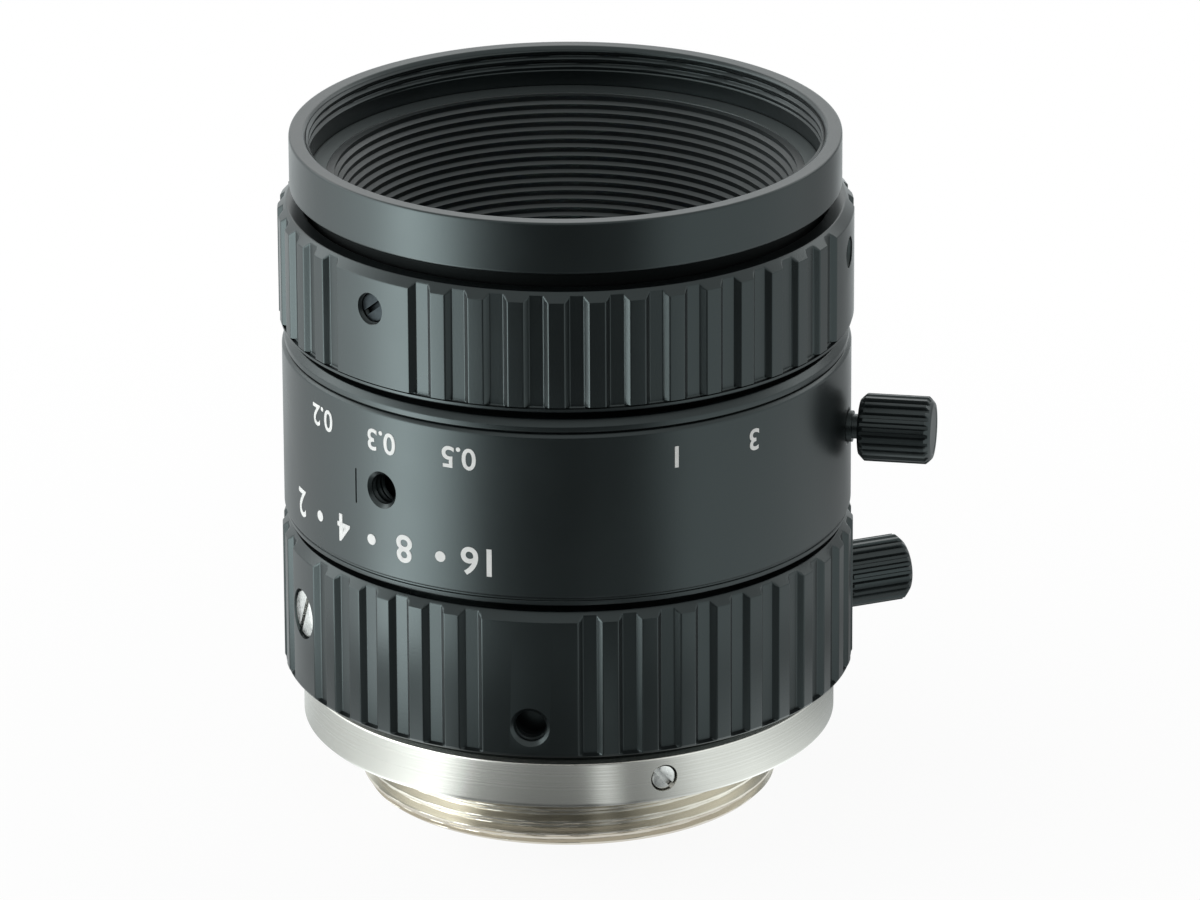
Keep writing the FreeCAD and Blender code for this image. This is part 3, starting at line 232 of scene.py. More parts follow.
glow = np.stack([np.interp(angle, TENT_LIGHT[:, 0], TENT_LIGHT[:, column])
                 for column in (FOOT, NEAR, FURTHER, FAR, FAR, FAR)])
tent_mesh = bpy.data.meshes.new("light_tent")
tent_mesh.from_pydata(points.reshape(-1, 3), [], faces)
tent_mesh.attributes.new("glow", "FLOAT", "POINT").data.foreach_set("value", glow.ravel())
tent_cloth = bpy.data.materials.new("lit_tent_cloth")
tent_cloth.use_nodes = True
tree = tent_cloth.node_tree
tree.nodes.clear()
level = add(tree, "ShaderNodeAttribute", attribute_name="glow")
shine = add(tree, "ShaderNodeEmission", {"Color": linear("#f8feff"), "Strength": level.outputs["Fac"]})
add(tree, "ShaderNodeOutputMaterial", {"Surface": shine.outputs[0]})
tent_mesh.materials.append(tent_cloth)
tent = bpy.data.objects.new("light_tent", tent_mesh)
tent.visible_camera = tent.visible_diffuse = tent.visible_shadow = tent.visible_transmission = False
bpy.context.scene.collection.objects.link(tent)


# Mount ring: brass, turned in one piece with the camera thread, then nickel plated. It sits over the foot of
# the barrel, where three slotted steel screws clamp it.
def rounded(corners, ease, steps=4):
    """Closed outline with eased corners. Each corner becomes a parabola between two points set back from it by
    the ease, (1-s)^2 a + 2 s (1-s) corner + s^2 b, and one more point outside each end keeps the sides flat."""
    corner = np.array(corners, float)
    before = np.roll(corner, 1, 0) - corner
    after = np.roll(corner, -1, 0) - corner
    shorter = np.minimum(np.linalg.norm(before, axis=1), np.linalg.norm(after, axis=1))
    before = before / np.linalg.norm(before, axis=1)[:, None]
    after = after / np.linalg.norm(after, axis=1)[:, None]
    back = np.minimum(ease, 0.3 * shorter)[:, None]
    s = np.linspace(0, 1, steps)[None, :, None]
    start, end = corner + before * back, corner + after * back
    curve = (1 - s) ** 2 * start[:, None] + 2 * s * (1 - s) * corner[:, None] + s ** 2 * end[:, None]
    outer = np.stack([corner + 1.5 * before * back, corner + 1.5 * after * back], 1)
    return np.concatenate([outer[:, :1], curve, outer[:, 1:]], 1).reshape(-1, 2)


def turned(outline, columns=300):
    """Grid of an outline of radii and heights carried round the lens axis: x = r sin a, y = -r cos a."""
    angle = np.linspace(0, math.tau, columns, endpoint=False)
    radius, height = np.array(outline, float).T
    return np.stack([np.outer(radius, np.sin(angle)), -np.outer(radius, np.cos(angle)),
                     np.repeat(height[:, None], columns, 1)], -1)


MERGE_DISTANCE = 3e-8


def skin(name, *grids, loop=True, crease=40):
    """Closed mesh from grids of points in millimetres: each column closes on the first, rows close too where
    the outline is a loop, and rows whose points coincide merge into poles. Faces are turned outwards."""
    points = np.concatenate([grid.reshape(-1, 3) for grid in grids])
    faces, first = [], 0
    for grid in grids:
        index = first + np.arange(grid.shape[0] * grid.shape[1]).reshape(grid.shape[:2])
        low, high = (index, np.roll(index, -1, 0)) if loop else (index[:-1], index[1:])
        faces.append(np.stack([low, np.roll(low, -1, 1), np.roll(high, -1, 1), high], -1).reshape(-1, 4))
        first += index.size
    mesh = bpy.data.meshes.new(name)
    mesh.from_pydata(points * MM, [], np.concatenate(faces))
    shell = bmesh.new()
    shell.from_mesh(mesh)
    bmesh.ops.remove_doubles(shell, verts=shell.verts, dist=MERGE_DISTANCE)
    bmesh.ops.recalc_face_normals(shell, faces=shell.faces)
    shell.to_mesh(mesh)
    shell.free()
    mesh.shade_smooth()
    mesh.set_sharp_from_angle(angle=math.radians(crease))
    piece = bpy.data.objects.new(name, mesh)
    bpy.context.scene.collection.objects.link(piece)
    return piece


def cut(piece, *tools, crease=40):
    """Takes the tools' solids out of the piece for good."""
    for tool in tools:
        step = piece.modifiers.new("cut", "BOOLEAN")
        step.operation = "DIFFERENCE"
        step.solver = "EXACT"
        step.object = tool
    graph = bpy.context.evaluated_depsgraph_get()
    whole = piece.data
    name = whole.name
    piece.data = bpy.data.meshes.new_from_object(piece.evaluated_get(graph), depsgraph=graph)
    piece.modifiers.clear()
    bpy.data.meshes.remove(whole)
    piece.data.name = name
    piece.data.shade_smooth()
    piece.data.set_sharp_from_angle(angle=math.radians(crease))
    for tool in tools:
        bpy.data.objects.remove(tool)


def radial(grid, angle, level):
    """Stands a grid drawn about its own Z axis on a spoke of the lens: its X runs round the lens, its Y up
    the lens axis and its Z outwards from it."""
    turn = math.radians(angle)
    across, out = np.array([math.cos(turn), math.sin(turn), 0]), np.array([math.sin(turn), -math.cos(turn), 0])
    x, y, z = grid[..., :1], grid[..., 1:2], grid[..., 2:]
    return x * across + y * np.array([0, 0, 1]) + z * out + np.array([0, 0, level])


def around(grid, angles, level):
    """The same grid stood on several spokes of the lens, at one level."""
    return [radial(grid, angle, level) for angle in angles]


def bar(start, end):
    """Grid of a straight bar between two four-cornered ends, each closed by a fan about its middle."""
    start, end = np.array(start, float), np.array(end, float)
    return np.stack([np.repeat(start.mean(0)[None], 4, 0), start, end, np.repeat(end.mean(0)[None], 4, 0)])


def slot_bar(width, depth_from, depth_to, length, tilt):
    """Grid of a driver slot across a screw's end, turned by the tilt about the screw's axis."""
    turn = math.radians(tilt)
    along, side = np.array([math.cos(turn), math.sin(turn), 0]), np.array([-math.sin(turn), math.cos(turn), 0])
    corner = np.array([(-1, 0), (1, 0), (1, 1), (-1, 1)], float)
    level = depth_from + corner[:, 1:] * (depth_to - depth_from)
    section = corner[:, :1] * side * width / 2 + level * np.array([0, 0, 1])
    return bar(section - along * length / 2, section + along * length / 2)


def fit(piece, finish, body, slot, *replaced):
    """Gives a piece its finish, the body that it rides on and the nodes that it stands for. The slot is not used."""
    piece.data.materials.clear()
    piece.data.materials.append(finish)
    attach(piece, body)
    if replaced:
        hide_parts(*replaced)


def principled(name, inputs):
    """A material with one principled shader whose even values are set on its sockets."""
    material = bpy.data.materials.new(name)
    material.use_nodes = True
    shader = material.node_tree.nodes["Principled BSDF"]
    for key, value in inputs.items():
        shader.inputs[key].default_value = value
    return material, material.node_tree, shader


def vary(tree, shader, pattern, dark, pale, rough_from, rough_to, bump=None):
    """Lets one pattern run a shader's colour between two tones and its roughness between two values, and raises
    its relief where a strength and a height in millimetres are given."""
    tone = add(tree, "ShaderNodeMix", {0: pattern, 6: linear(dark), 7: linear(pale)}, data_type="RGBA")
    gloss = add(tree, "ShaderNodeMapRange", {"Value": pattern, "To Min": rough_from, "To Max": rough_to})
    tree.links.new(tone.outputs[2], shader.inputs["Base Color"])
    tree.links.new(gloss.outputs[0], shader.inputs["Roughness"])
    if bump:
        relief = add(tree, "ShaderNodeBump", {"Strength": bump[0], "Distance": bump[1] * MM, "Height": pattern})
        tree.links.new(relief.outputs[0], shader.inputs["Normal"])
    return tone


def lathe_marks(tree, pitch, fine):
    """Height of turning marks: noise along radius plus height, so that lines run round the axis on walls and
    faces alike. The pitch is in millimetres, and fine adds detail."""
    place = add(tree, "ShaderNodeTexCoord")
    flat = add(tree, "ShaderNodeVectorMath", {0: place.outputs["Object"], 1: (1, 1, 0)}, operation="MULTIPLY")
    reach = add(tree, "ShaderNodeVectorMath", {0: flat.outputs[0]}, operation="LENGTH")
    parts = add(tree, "ShaderNodeSeparateXYZ", {0: place.outputs["Object"]})
    along = add(tree, "ShaderNodeMath", {0: reach.outputs["Value"], 1: parts.outputs["Z"]}, operation="ADD")
    return add(tree, "ShaderNodeTexNoise", {"W": along.outputs[0], "Scale": 1 / (pitch * MM), "Detail": fine},
               noise_dimensions="1D").outputs["Fac"]


MOUNT_CHAMFER = 0.25
MOUNT_BORE = 11.2
SOCKET_RADIUS, SOCKET_FLOOR = 14.95, 0.6
SEAT_BORE = 13.0
UNDERCUT_RADIUS, UNDERCUT_LOW, UNDERCUT_HIGH = 12.0, -0.6, 0.2
MOUNT_SCREW_ANGLES = (20.5, 140.5, 260.5)
MOUNT_SCREW_LEVEL = 1.55
MOUNT_HOLE_RADIUS, MOUNT_HOLE_MOUTH = 0.8, 1.0
SMALL_COLUMNS = 48
THREAD_PITCH = 25.4 / 32
THREAD_DEPTH = 0.45
THREAD_RADIUS = 12.7
THREAD_TIP_RADIUS = 12.3
ROOT_SHARE, FLANK_SHARE = 0.10, 0.32
THREAD_ROWS, THREAD_COLUMNS = 124, 360
mount_low, mount_high = (corner.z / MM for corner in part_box("c_mount_ring"))
mount_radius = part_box("c_mount_ring")[1].x / MM
flange_outline = rounded((
    (UNDERCUT_RADIUS, UNDERCUT_LOW), (UNDERCUT_RADIUS, UNDERCUT_HIGH), (SEAT_BORE, UNDERCUT_HIGH), (SEAT_BORE, 0),
    (mount_radius - MOUNT_CHAMFER, 0), (mount_radius, MOUNT_CHAMFER), (mount_radius, mount_high - MOUNT_CHAMFER),
    (mount_radius - MOUNT_CHAMFER, mount_high), (SOCKET_RADIUS, mount_high), (SOCKET_RADIUS, SOCKET_FLOOR),
    (MOUNT_BORE, SOCKET_FLOOR), (MOUNT_BORE, mount_low), (THREAD_TIP_RADIUS, mount_low),
), ease=0.06)
# The thread's section is a flat root and two flanks, each given as a share of the pitch.
thread_level = np.linspace(mount_low, UNDERCUT_LOW, THREAD_ROWS)
thread_cap = np.minimum(THREAD_RADIUS, THREAD_TIP_RADIUS + thread_level - mount_low)
mount_outline = np.vstack([flange_outline, np.stack([thread_cap, thread_level], -1)])
mount_grid = turned(mount_outline, THREAD_COLUMNS)
round_share = np.linspace(0, 1, THREAD_COLUMNS, endpoint=False)
phase = (thread_level[:, None] / THREAD_PITCH - round_share[None]) % 1
flank = np.clip((np.abs(phase - 0.5) - ROOT_SHARE) / FLANK_SHARE, 0, 1)
thread_radius = np.minimum(thread_cap[:, None], THREAD_RADIUS - THREAD_DEPTH * (1 - flank))
mount_grid[-THREAD_ROWS:, :, :2] *= (thread_radius / thread_cap[:, None])[..., None]
mount_ring = skin("mount_ring", mount_grid)
mount_hole = turned(((0, 14.0), (MOUNT_HOLE_RADIUS, 14.0), (MOUNT_HOLE_RADIUS, 16.0), (MOUNT_HOLE_MOUTH, 16.9),
                     (0, 16.9)), SMALL_COLUMNS)
cut(mount_ring, skin("mount_holes", *around(mount_hole, MOUNT_SCREW_ANGLES, MOUNT_SCREW_LEVEL), loop=False))

# Bright nickel over fine turning: the lines run round the ring, so the sheen is drawn out along the axis.
THREAD_SHADE_WITHIN, THREAD_SHADE_ENDS_BEYOND = 12.75, 12.95
nickel_plate, tree, shader = principled("turned_nickel_plate", {"Metallic": 1.0, "Anisotropic": 0.25})
lines = lathe_marks(tree, pitch=0.11, fine=3.0)
tone = vary(tree, shader, lines, "#c9c7bf", "#dcdbd5", rough_from=0.3, rough_to=0.2, bump=(0.12, 0.03))
# Painted shade: the colour turns browner down in the thread, where shade falls.
place = add(tree, "ShaderNodeTexCoord")
flat = add(tree, "ShaderNodeVectorMath", {0: place.outputs["Object"], 1: (1, 1, 0)}, operation="MULTIPLY")
reach = add(tree, "ShaderNodeVectorMath", {0: flat.outputs[0]}, operation="LENGTH")
# Painted shade: a browner tone within the thread's radius, fading to the plain plating tone beyond it.
thread_shade_fade = add(tree, "ShaderNodeMapRange", {"Value": reach.outputs["Value"], "From Min": THREAD_SHADE_WITHIN * MM,
                                              "From Max": THREAD_SHADE_ENDS_BEYOND * MM})
tone = add(tree, "ShaderNodeMix", {0: thread_shade_fade.outputs[0], 6: linear("#cfcabe"), 7: tone.outputs[2]},
           data_type="RGBA")
tree.links.new(tone.outputs[2], shader.inputs["Base Color"])
fit(mount_ring, nickel_plate, "barrel", "nickel_plate", "c_mount_ring")

# Mount set screws: short steel screws with a driver slot, screwed in from the ring's side until their tips
# press on the barrel's foot. They are left bare, with a bright turned end that is grey where it is worn.
bright_steel, tree, shader = principled("bright_turned_steel", {"Metallic": 1.0})
place = add(tree, "ShaderNodeTexCoord")
grain = add(tree, "ShaderNodeTexNoise", {"Vector": place.outputs["Object"], "Scale": 5 / MM, "Detail": 3.0})
vary(tree, shader, grain.outputs["Fac"], "#aeb0ae", "#f0f0ec", rough_from=0.18, rough_to=0.4, bump=(0.4, 0.03))


def screw_grid(tip, end, radius, edge=0.12):
    """Grid of a plain round screw body between two distances from the lens axis, its ends eased."""
    return turned(((0, tip), (radius - edge, tip), (radius, tip + edge), (radius, end - edge),
                   (radius - 0.3 * edge, end - 0.3 * edge), (radius - edge, end), (0, end)), SMALL_COLUMNS)


mount_screw = screw_grid(tip=14.93, end=16.1, radius=0.75)
mount_slot = slot_bar(width=0.3, depth_from=15.7, depth_to=17.0, length=2.0, tilt=-48)
mount_screws = skin("mount_screws", *around(mount_screw, MOUNT_SCREW_ANGLES, MOUNT_SCREW_LEVEL), loop=False)
cut(mount_screws, skin("mount_screw_slots", *around(mount_slot, MOUNT_SCREW_ANGLES, MOUNT_SCREW_LEVEL), loop=False,
                       crease=20))
fit(mount_screws, bright_steel, "barrel", "steel_screw", "mount_set_screws")

# Barrel: aluminium, turned, drilled and anodised a satin black. Its thin sleeve runs down inside the iris
# ring to the mount, and three threaded holes in its wall take the focus lock.
BARREL_RADIUS = 17.2
BARREL_BORE, HELICOID_BORE, COLLAR_BORE = 14.5, 15.6, 16.5
FOOT_RADIUS, SLEEVE_RADIUS = 14.9, 15.4
FOOT_GAP, WEB_HEIGHT, SOCKET_DEPTH = 0.4, 3.62, 2.6
BARREL_HOLE_ANGLES = (-40.0, 80.0, 200.0)
collar_low, collar_high = (corner.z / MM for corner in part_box("barrel_collar"))
iris_low, iris_high = (corner.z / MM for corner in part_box("iris_ring"))
focus_low, focus_high = (corner.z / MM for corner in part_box("focus_ring"))
barrel_low, barrel_high = (corner.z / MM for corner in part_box("main_barrel"))
barrel_foot = iris_high + FOOT_GAP
web_top = barrel_foot + WEB_HEIGHT
socket_floor = barrel_high - SOCKET_DEPTH
barrel_hole_level = (web_top + socket_floor) / 2
# The outer wall starts with a small lip and a groove over it.
barrel_outline = rounded((
    (BARREL_BORE, barrel_low), (FOOT_RADIUS, barrel_low), (FOOT_RADIUS, mount_high), (SLEEVE_RADIUS, mount_high),
    (SLEEVE_RADIUS, barrel_foot), (16.9, barrel_foot), (17.06, barrel_foot + 0.08), (17.1, barrel_foot + 0.34),
    (17.0, barrel_foot + 0.4), (17.0, barrel_foot + 0.5), (BARREL_RADIUS, barrel_foot + 0.6),
    (BARREL_RADIUS, barrel_high - 0.2),
    (BARREL_RADIUS - 0.2, barrel_high), (COLLAR_BORE, barrel_high), (COLLAR_BORE, socket_floor),
    (HELICOID_BORE, socket_floor), (HELICOID_BORE, web_top), (BARREL_BORE, web_top),
), ease=0.08)


SCREW_PITCH, SCREW_WAVE = 0.4, 0.07
HOLE_START = 15.0


def threaded_hole(wall_inside, wall_outside, radius=1.0, sink=0.22):
    """Grid of what a drill, a tap and a countersink take out of a wall between two distances from the lens
    axis: the hole's radius is a mean plus a cosine of the depth over the pitch, and the sink opens at 45 degrees."""
    depth = np.linspace(wall_inside - 0.6, wall_outside - sink, 34)
    turns = radius + SCREW_WAVE * np.cos(math.tau * depth / SCREW_PITCH)
    wall = np.stack([turns, depth], -1)
    return turned(np.vstack([[(0, depth[0])], wall, [(radius + sink + 1, wall_outside + 1), (0, wall_outside + 1)]]),
                  SMALL_COLUMNS)


barrel = skin("barrel", turned(barrel_outline))
barrel_holes = skin("barrel_holes", *around(threaded_hole(HOLE_START, BARREL_RADIUS), BARREL_HOLE_ANGLES,
                                            barrel_hole_level), loop=False)
# A short index line is engraved beside the first hole.
INDEX_ANGLE, INDEX_LEVEL = -47.0, 19.1
INDEX_HALF_WIDTH, INDEX_HALF_LENGTH = 0.06, 1.1
INDEX_FLOOR, INDEX_CLEAR = 17.12, 17.6
index_section = np.array([(-INDEX_HALF_WIDTH, 0, INDEX_FLOOR), (INDEX_HALF_WIDTH, 0, INDEX_FLOOR),
                          (INDEX_HALF_WIDTH, 0, INDEX_CLEAR), (-INDEX_HALF_WIDTH, 0, INDEX_CLEAR)])
index_reach = np.array([0, INDEX_HALF_LENGTH, 0])
index_line = radial(bar(index_section - index_reach, index_section + index_reach), INDEX_ANGLE, INDEX_LEVEL)
cut(barrel, barrel_holes, skin("index_line", index_line, loop=False))


# Satin black anodising: a dyed oxide skin that keeps the faint lathe marks under it. It shines softly and
# evenly, a little blue-green in strong light, with a grain too fine to see as more than a tooth.
def black_anodising(name, gloss_low, gloss_high, dark, pale, marks):
    """The satin skin, with its roughness between two values and its tone between two colours. The last value is
    the share of lathe marks in its relief, and the rest is grain, 7 to a millimetre."""
    material, tree, shader = principled(name, {
        "IOR": 1.5, "Specular IOR Level": 0.5, "Specular Tint": linear("#ebfefe")})
    place = add(tree, "ShaderNodeTexCoord")
    grain = add(tree, "ShaderNodeTexNoise", {"Vector": place.outputs["Object"], "Scale": 7 / MM, "Detail": 2.0})
    cloud = add(tree, "ShaderNodeTexNoise", {"Vector": place.outputs["Object"], "Scale": 0.18 / MM, "Detail": 3.0})
    lines = lathe_marks(tree, pitch=0.16, fine=2.0)
    tone = add(tree, "ShaderNodeMix", {0: cloud.outputs["Fac"], 6: linear(dark), 7: linear(pale)},
               data_type="RGBA")
    gloss = add(tree, "ShaderNodeMapRange", {"Value": cloud.outputs["Fac"], "From Min": 0.3, "From Max": 0.7,
                                             "To Min": gloss_low, "To Max": gloss_high})
    tooth = add(tree, "ShaderNodeMix", {0: marks, 2: grain.outputs["Fac"], 3: lines})
    relief = add(tree, "ShaderNodeBump", {"Strength": 0.22, "Distance": 0.02 * MM, "Height": tooth.outputs[0]})
    tree.links.new(tone.outputs[2], shader.inputs["Base Color"])
    tree.links.new(gloss.outputs[0], shader.inputs["Roughness"])
    tree.links.new(relief.outputs[0], shader.inputs["Normal"])
    return material


satin_black = black_anodising("satin_black_anodised_aluminium", gloss_low=0.27, gloss_high=0.34,
                              dark="#080a0b", pale="#0e1213", marks=0.35)
fit(barrel, satin_black, "barrel", "black_anodised", "main_barrel")

# Collar: a narrow aluminium ring, anodised like the barrel and screwed into its mouth, where it holds the
# focus thread's brass sleeve down. Its upper edge has a wide bevel that shines.
COLLAR_RADIUS, COLLAR_NECK = 17.05, 16.4
COLLAR_BEVEL_WIDTH, COLLAR_BEVEL_HEIGHT = 0.35, 0.42
collar = skin("collar", turned(rounded((
    (HELICOID_BORE, collar_low), (COLLAR_NECK, collar_low), (COLLAR_NECK, barrel_high),
    (COLLAR_RADIUS - 0.13, barrel_high), (COLLAR_RADIUS, barrel_high + 0.13),
    (COLLAR_RADIUS, collar_high - COLLAR_BEVEL_HEIGHT), (COLLAR_RADIUS - COLLAR_BEVEL_WIDTH, collar_high),
    (HELICOID_BORE, collar_high),
), ease=0.06)))
fit(collar, satin_black, "barrel", "black_anodised", "barrel_collar")

# Printed scales: plain numbers and dots in white paint, filled into shallow engraving. They stand head
# down, because the lens is read with its front away from the reader.
IRIS_SCALE = (("2", -67.75), ("4", -51.1), ("8", -34.4), ("16", -17.75))
IRIS_DOTS = (-59.4, -42.75, -26.1)
FOCUS_SCALE = (("0.2", -58.0), ("0.3", -40.0), ("0.5", -22.0), ("1", 22.0), ("3", 40.0))
LOW_ROW, LOW_HEIGHT = 16.1, 1.75
HIGH_ROW, HIGH_HEIGHT = 22.5, 1.35
PAINT_TOP, PAINT_ROOT = 0.02, -0.05
DIGIT_SHARE = 0.72
STROKE_SPREAD = 0.02
WORD_REACH, BEND_STEP = 4.0, 0.4


def lettering(text, height, angle, level):
    """Points and faces of a word wrapped on the barrel head down: x becomes an arc, -x / radius, y becomes
    the level, -y, and the thickness runs from the paint's root to its top. Cuts across the word let it bend."""
    curve = bpy.data.curves.new("word", "FONT")
    curve.body = text
    curve.align_x = "CENTER"
    curve.align_y = "CENTER"
    curve.size = height / DIGIT_SHARE
    curve.extrude = (PAINT_TOP - PAINT_ROOT) / 2
    curve.offset = STROKE_SPREAD * height
    curve.resolution_u = 6
    holder = bpy.data.objects.new("word", curve)
    bpy.context.scene.collection.objects.link(holder)
    graph = bpy.context.evaluated_depsgraph_get()
    word = bpy.data.meshes.new_from_object(holder.evaluated_get(graph), depsgraph=graph)
    bpy.data.objects.remove(holder)
    flat = bmesh.new()
    flat.from_mesh(word)
    bmesh.ops.remove_doubles(flat, verts=flat.verts, dist=1e-5)
    for step in np.arange(-WORD_REACH, WORD_REACH, BEND_STEP):
        bmesh.ops.bisect_plane(flat, geom=flat.verts[:] + flat.edges[:] + flat.faces[:], dist=1e-6,
                               plane_co=(step, 0, 0), plane_no=(1, 0, 0))
    flat.to_mesh(word)
    flat.free()
    points = np.empty(3 * len(word.vertices))
    corners = np.empty(len(word.loops), int)
    starts = np.empty(len(word.polygons), int)
    word.vertices.foreach_get("co", points)
    word.loops.foreach_get("vertex_index", corners)
    word.polygons.foreach_get("loop_start", starts)
    bpy.data.meshes.remove(word)
    x, y, z = points.reshape(-1, 3).T
    turn = math.radians(angle) - x / BARREL_RADIUS
    radius = BARREL_RADIUS + z + (PAINT_TOP + PAINT_ROOT) / 2
    return np.stack([radius * np.sin(turn), -radius * np.cos(turn), level - y], -1), np.split(corners, starts[1:])


words = [lettering(text, LOW_HEIGHT, angle, LOW_ROW) for text, angle in IRIS_SCALE]
words += [lettering("•", LOW_HEIGHT, angle, LOW_ROW) for angle in IRIS_DOTS]
words += [lettering(text, HIGH_HEIGHT, angle, HIGH_ROW) for text, angle in FOCUS_SCALE]
firsts = np.cumsum([0] + [len(points) for points, faces in words])
scale_mesh = bpy.data.meshes.new("painted_scales")
scale_mesh.from_pydata(np.vstack([points for points, faces in words]) * MM, [],
                       [first + face for first, (points, faces) in zip(firsts, words) for face in faces])
scales = bpy.data.objects.new("painted_scales", scale_mesh)
bpy.context.scene.collection.objects.link(scales)

# White enamel ink: matt, slightly uneven where it has flowed.
white_ink, tree, shader = principled("white_enamel_ink", {"Roughness": 0.55})
place = add(tree, "ShaderNodeTexCoord")
flow = add(tree, "ShaderNodeTexNoise", {"Vector": place.outputs["Object"], "Scale": 1.5 / MM, "Detail": 2.0})
tint = add(tree, "ShaderNodeMix", {0: flow.outputs["Fac"], 6: linear("#d8dad8"), 7: linear("#f4f5f3")},
           data_type="RGBA")
tree.links.new(tint.outputs[2], shader.inputs["Base Color"])
fit(scales, white_ink, "barrel", None)


# Grips: the focus and iris rings are aluminium, milled with flutes in three runs, with a plain panel between
# runs. A flute has a flat floor and walls at 45 degrees, and its edges are just broken.
GRIP_RADIUS = 17.35
GRIP_CHAMFER = 0.55
GRIP_RIM_STEP = 0.08
FLUTE_PITCH = 8.0
FLUTE_DEPTH = 0.36
FLUTE_FLOOR = 0.81
FIRST_FLUTE, LAST_FLUTE, MIDDLE_FLUTE = 12, 108, 60
PANEL_TURNS = (0, 120, 240)
LEAST_COLUMN_GAP = 0.03
FLOOR_EASE, MOUTH_EASE, CHAMFER_EASE = 0.03, 0.05, 0.04
EDGE_BREAK = 0.08
RUN_OUT = 0.08


def soft_min(a, b, ease):
    """The smaller of two heights, with the corner where they cross eased by a parabola."""
    share = np.clip(0.5 + 0.5 * (b - a) / ease, 0, 1)
    return b * (1 - share) + a * share - ease * share * (1 - share)


def flute_angles(panel, missing):
    """Middle angles of the flutes, in degrees from the first panel, without the missing ones."""
    run = np.arange(FIRST_FLUTE, LAST_FLUTE + 1, FLUTE_PITCH)
    every = (panel + run[None, :] + np.array(PANEL_TURNS)[:, None]).ravel()
    return np.array([angle for angle in every if all(abs(angle - gap) > 1 for gap in missing)])


def grip_columns(flutes):
    """Angles of the grid's columns: one for each degree, and a close set at each corner of each flute."""
    floor_edge = math.degrees(math.atan(FLUTE_FLOOR / 2 / (GRIP_RADIUS - FLUTE_DEPTH)))
    mouth_edge = math.degrees(math.atan((FLUTE_FLOOR / 2 + FLUTE_DEPTH) / GRIP_RADIUS))
    spread = np.array([-0.28, -0.16, -0.08, 0.0, 0.08, 0.16, 0.28])
    near = np.concatenate([side * edge + spread for edge in (floor_edge, mouth_edge) for side in (-1, 1)])
    angles = np.concatenate([np.arange(0, 360, 1.0), (flutes[:, None] + near[None, :]).ravel() % 360])
    angles = np.sort(angles)
    return angles[np.concatenate([[True], np.diff(angles) > LEAST_COLUMN_GAP])]


def grip_section(angles, flutes):
    """Radius of the fluted section: the smaller of the ring's radius and, near each flute, the larger of its
    floor, depth / cos d, and its wall, offset / (cos d - sin d), with d the angle from the flute's middle."""
    apart = np.abs((angles[:, None] - flutes[None, :] + 180) % 360 - 180).min(1)
    d = np.radians(np.minimum(apart, FLUTE_PITCH))
    floor = (GRIP_RADIUS - FLUTE_DEPTH) / np.cos(d)
    wall = (GRIP_RADIUS - FLUTE_DEPTH - FLUTE_FLOOR / 2) / (np.cos(d) - np.sin(d))
    return soft_min(-soft_min(-floor, -wall, FLOOR_EASE), np.full_like(d, GRIP_RADIUS), MOUTH_EASE)


def grip_grid(corners, flutes, rim, line_depth):
    """Grid of a fluted ring. The second corner of the outline is its lower outer edge and the third and fourth
    are the ends of its top chamfer. Each point keeps the smaller of its own radius and the section's. The flutes
    run out above a plain rim of the given height at the foot, with a line of the given depth turned over it."""
    outline = rounded(corners, ease=0.05)
    per_corner = len(outline) // len(corners)
    chamfer = np.linspace(outline[3 * per_corner - 1], outline[3 * per_corner], 8)[1:-1]
    outline = np.insert(outline, 3 * per_corner, chamfer, 0)
    rim_top = corners[1][1] + rim
    line = np.array([(0, 0), (line_depth, 0.02), (line_depth, 0.09), (0, 0.11)])
    outline = np.insert(outline, 2 * per_corner, [(GRIP_RADIUS - depth, rim_top + rise) for depth, rise in line], 0)
    angles = grip_columns(flutes)
    broken = np.clip(corners[1][1] + EDGE_BREAK - outline[:, 1], 0, EDGE_BREAK)
    fluted = np.clip((outline[:, 1] - rim_top) / RUN_OUT, 0, 1)[:, None]
    section = grip_section(angles, flutes)[None, :] * fluted + (GRIP_RADIUS - GRIP_RIM_STEP) * (1 - fluted)
    radius = soft_min(outline[:, :1], section - broken[:, None], CHAMFER_EASE)
    turn = np.radians(angles)[None, :]
    level = np.repeat(outline[:, 1:], len(angles), 1)
    return np.stack([radius * np.sin(turn), -radius * np.cos(turn), level], -1)


# Iris ring: the fluted ring next to the mount, which turns the iris. It has the barrel's satin anodising. Each
# panel has a threaded hole, and the drive screw takes the place of one flute.
IRIS_PANEL = -7.75
IRIS_BORE = 15.5
iris_panels = [IRIS_PANEL + turn for turn in PANEL_TURNS]
iris_hole_level = iris_low + 1.94
DRIVE_ANGLE = IRIS_PANEL - MIDDLE_FLUTE
DRIVE_BORE, DRIVE_POCKET, DRIVE_SEAT = 0.8, 1.55, 16.1
drive_level = iris_high - 4.18
iris_ring = skin("iris_grip", grip_grid((
    (IRIS_BORE, iris_low), (GRIP_RADIUS, iris_low), (GRIP_RADIUS, iris_high - GRIP_CHAMFER),
    (GRIP_RADIUS - GRIP_CHAMFER, iris_high), (IRIS_BORE, iris_high),
), flute_angles(IRIS_PANEL, missing=(DRIVE_ANGLE + 360,)), rim=0.1, line_depth=0.02))
drive_hole = turned(((0, 14.5), (DRIVE_BORE, 14.5), (DRIVE_BORE, DRIVE_SEAT), (DRIVE_POCKET, DRIVE_SEAT),
                     (DRIVE_POCKET, 17.9), (0, 17.9)), SMALL_COLUMNS)
cut(iris_ring, skin("iris_ring_holes", *around(threaded_hole(HOLE_START, GRIP_RADIUS), iris_panels, iris_hole_level),
                    radial(drive_hole, DRIVE_ANGLE, drive_level), loop=False))
fit(iris_ring, satin_black, "iris_ring", "black_anodised", "iris_ring")

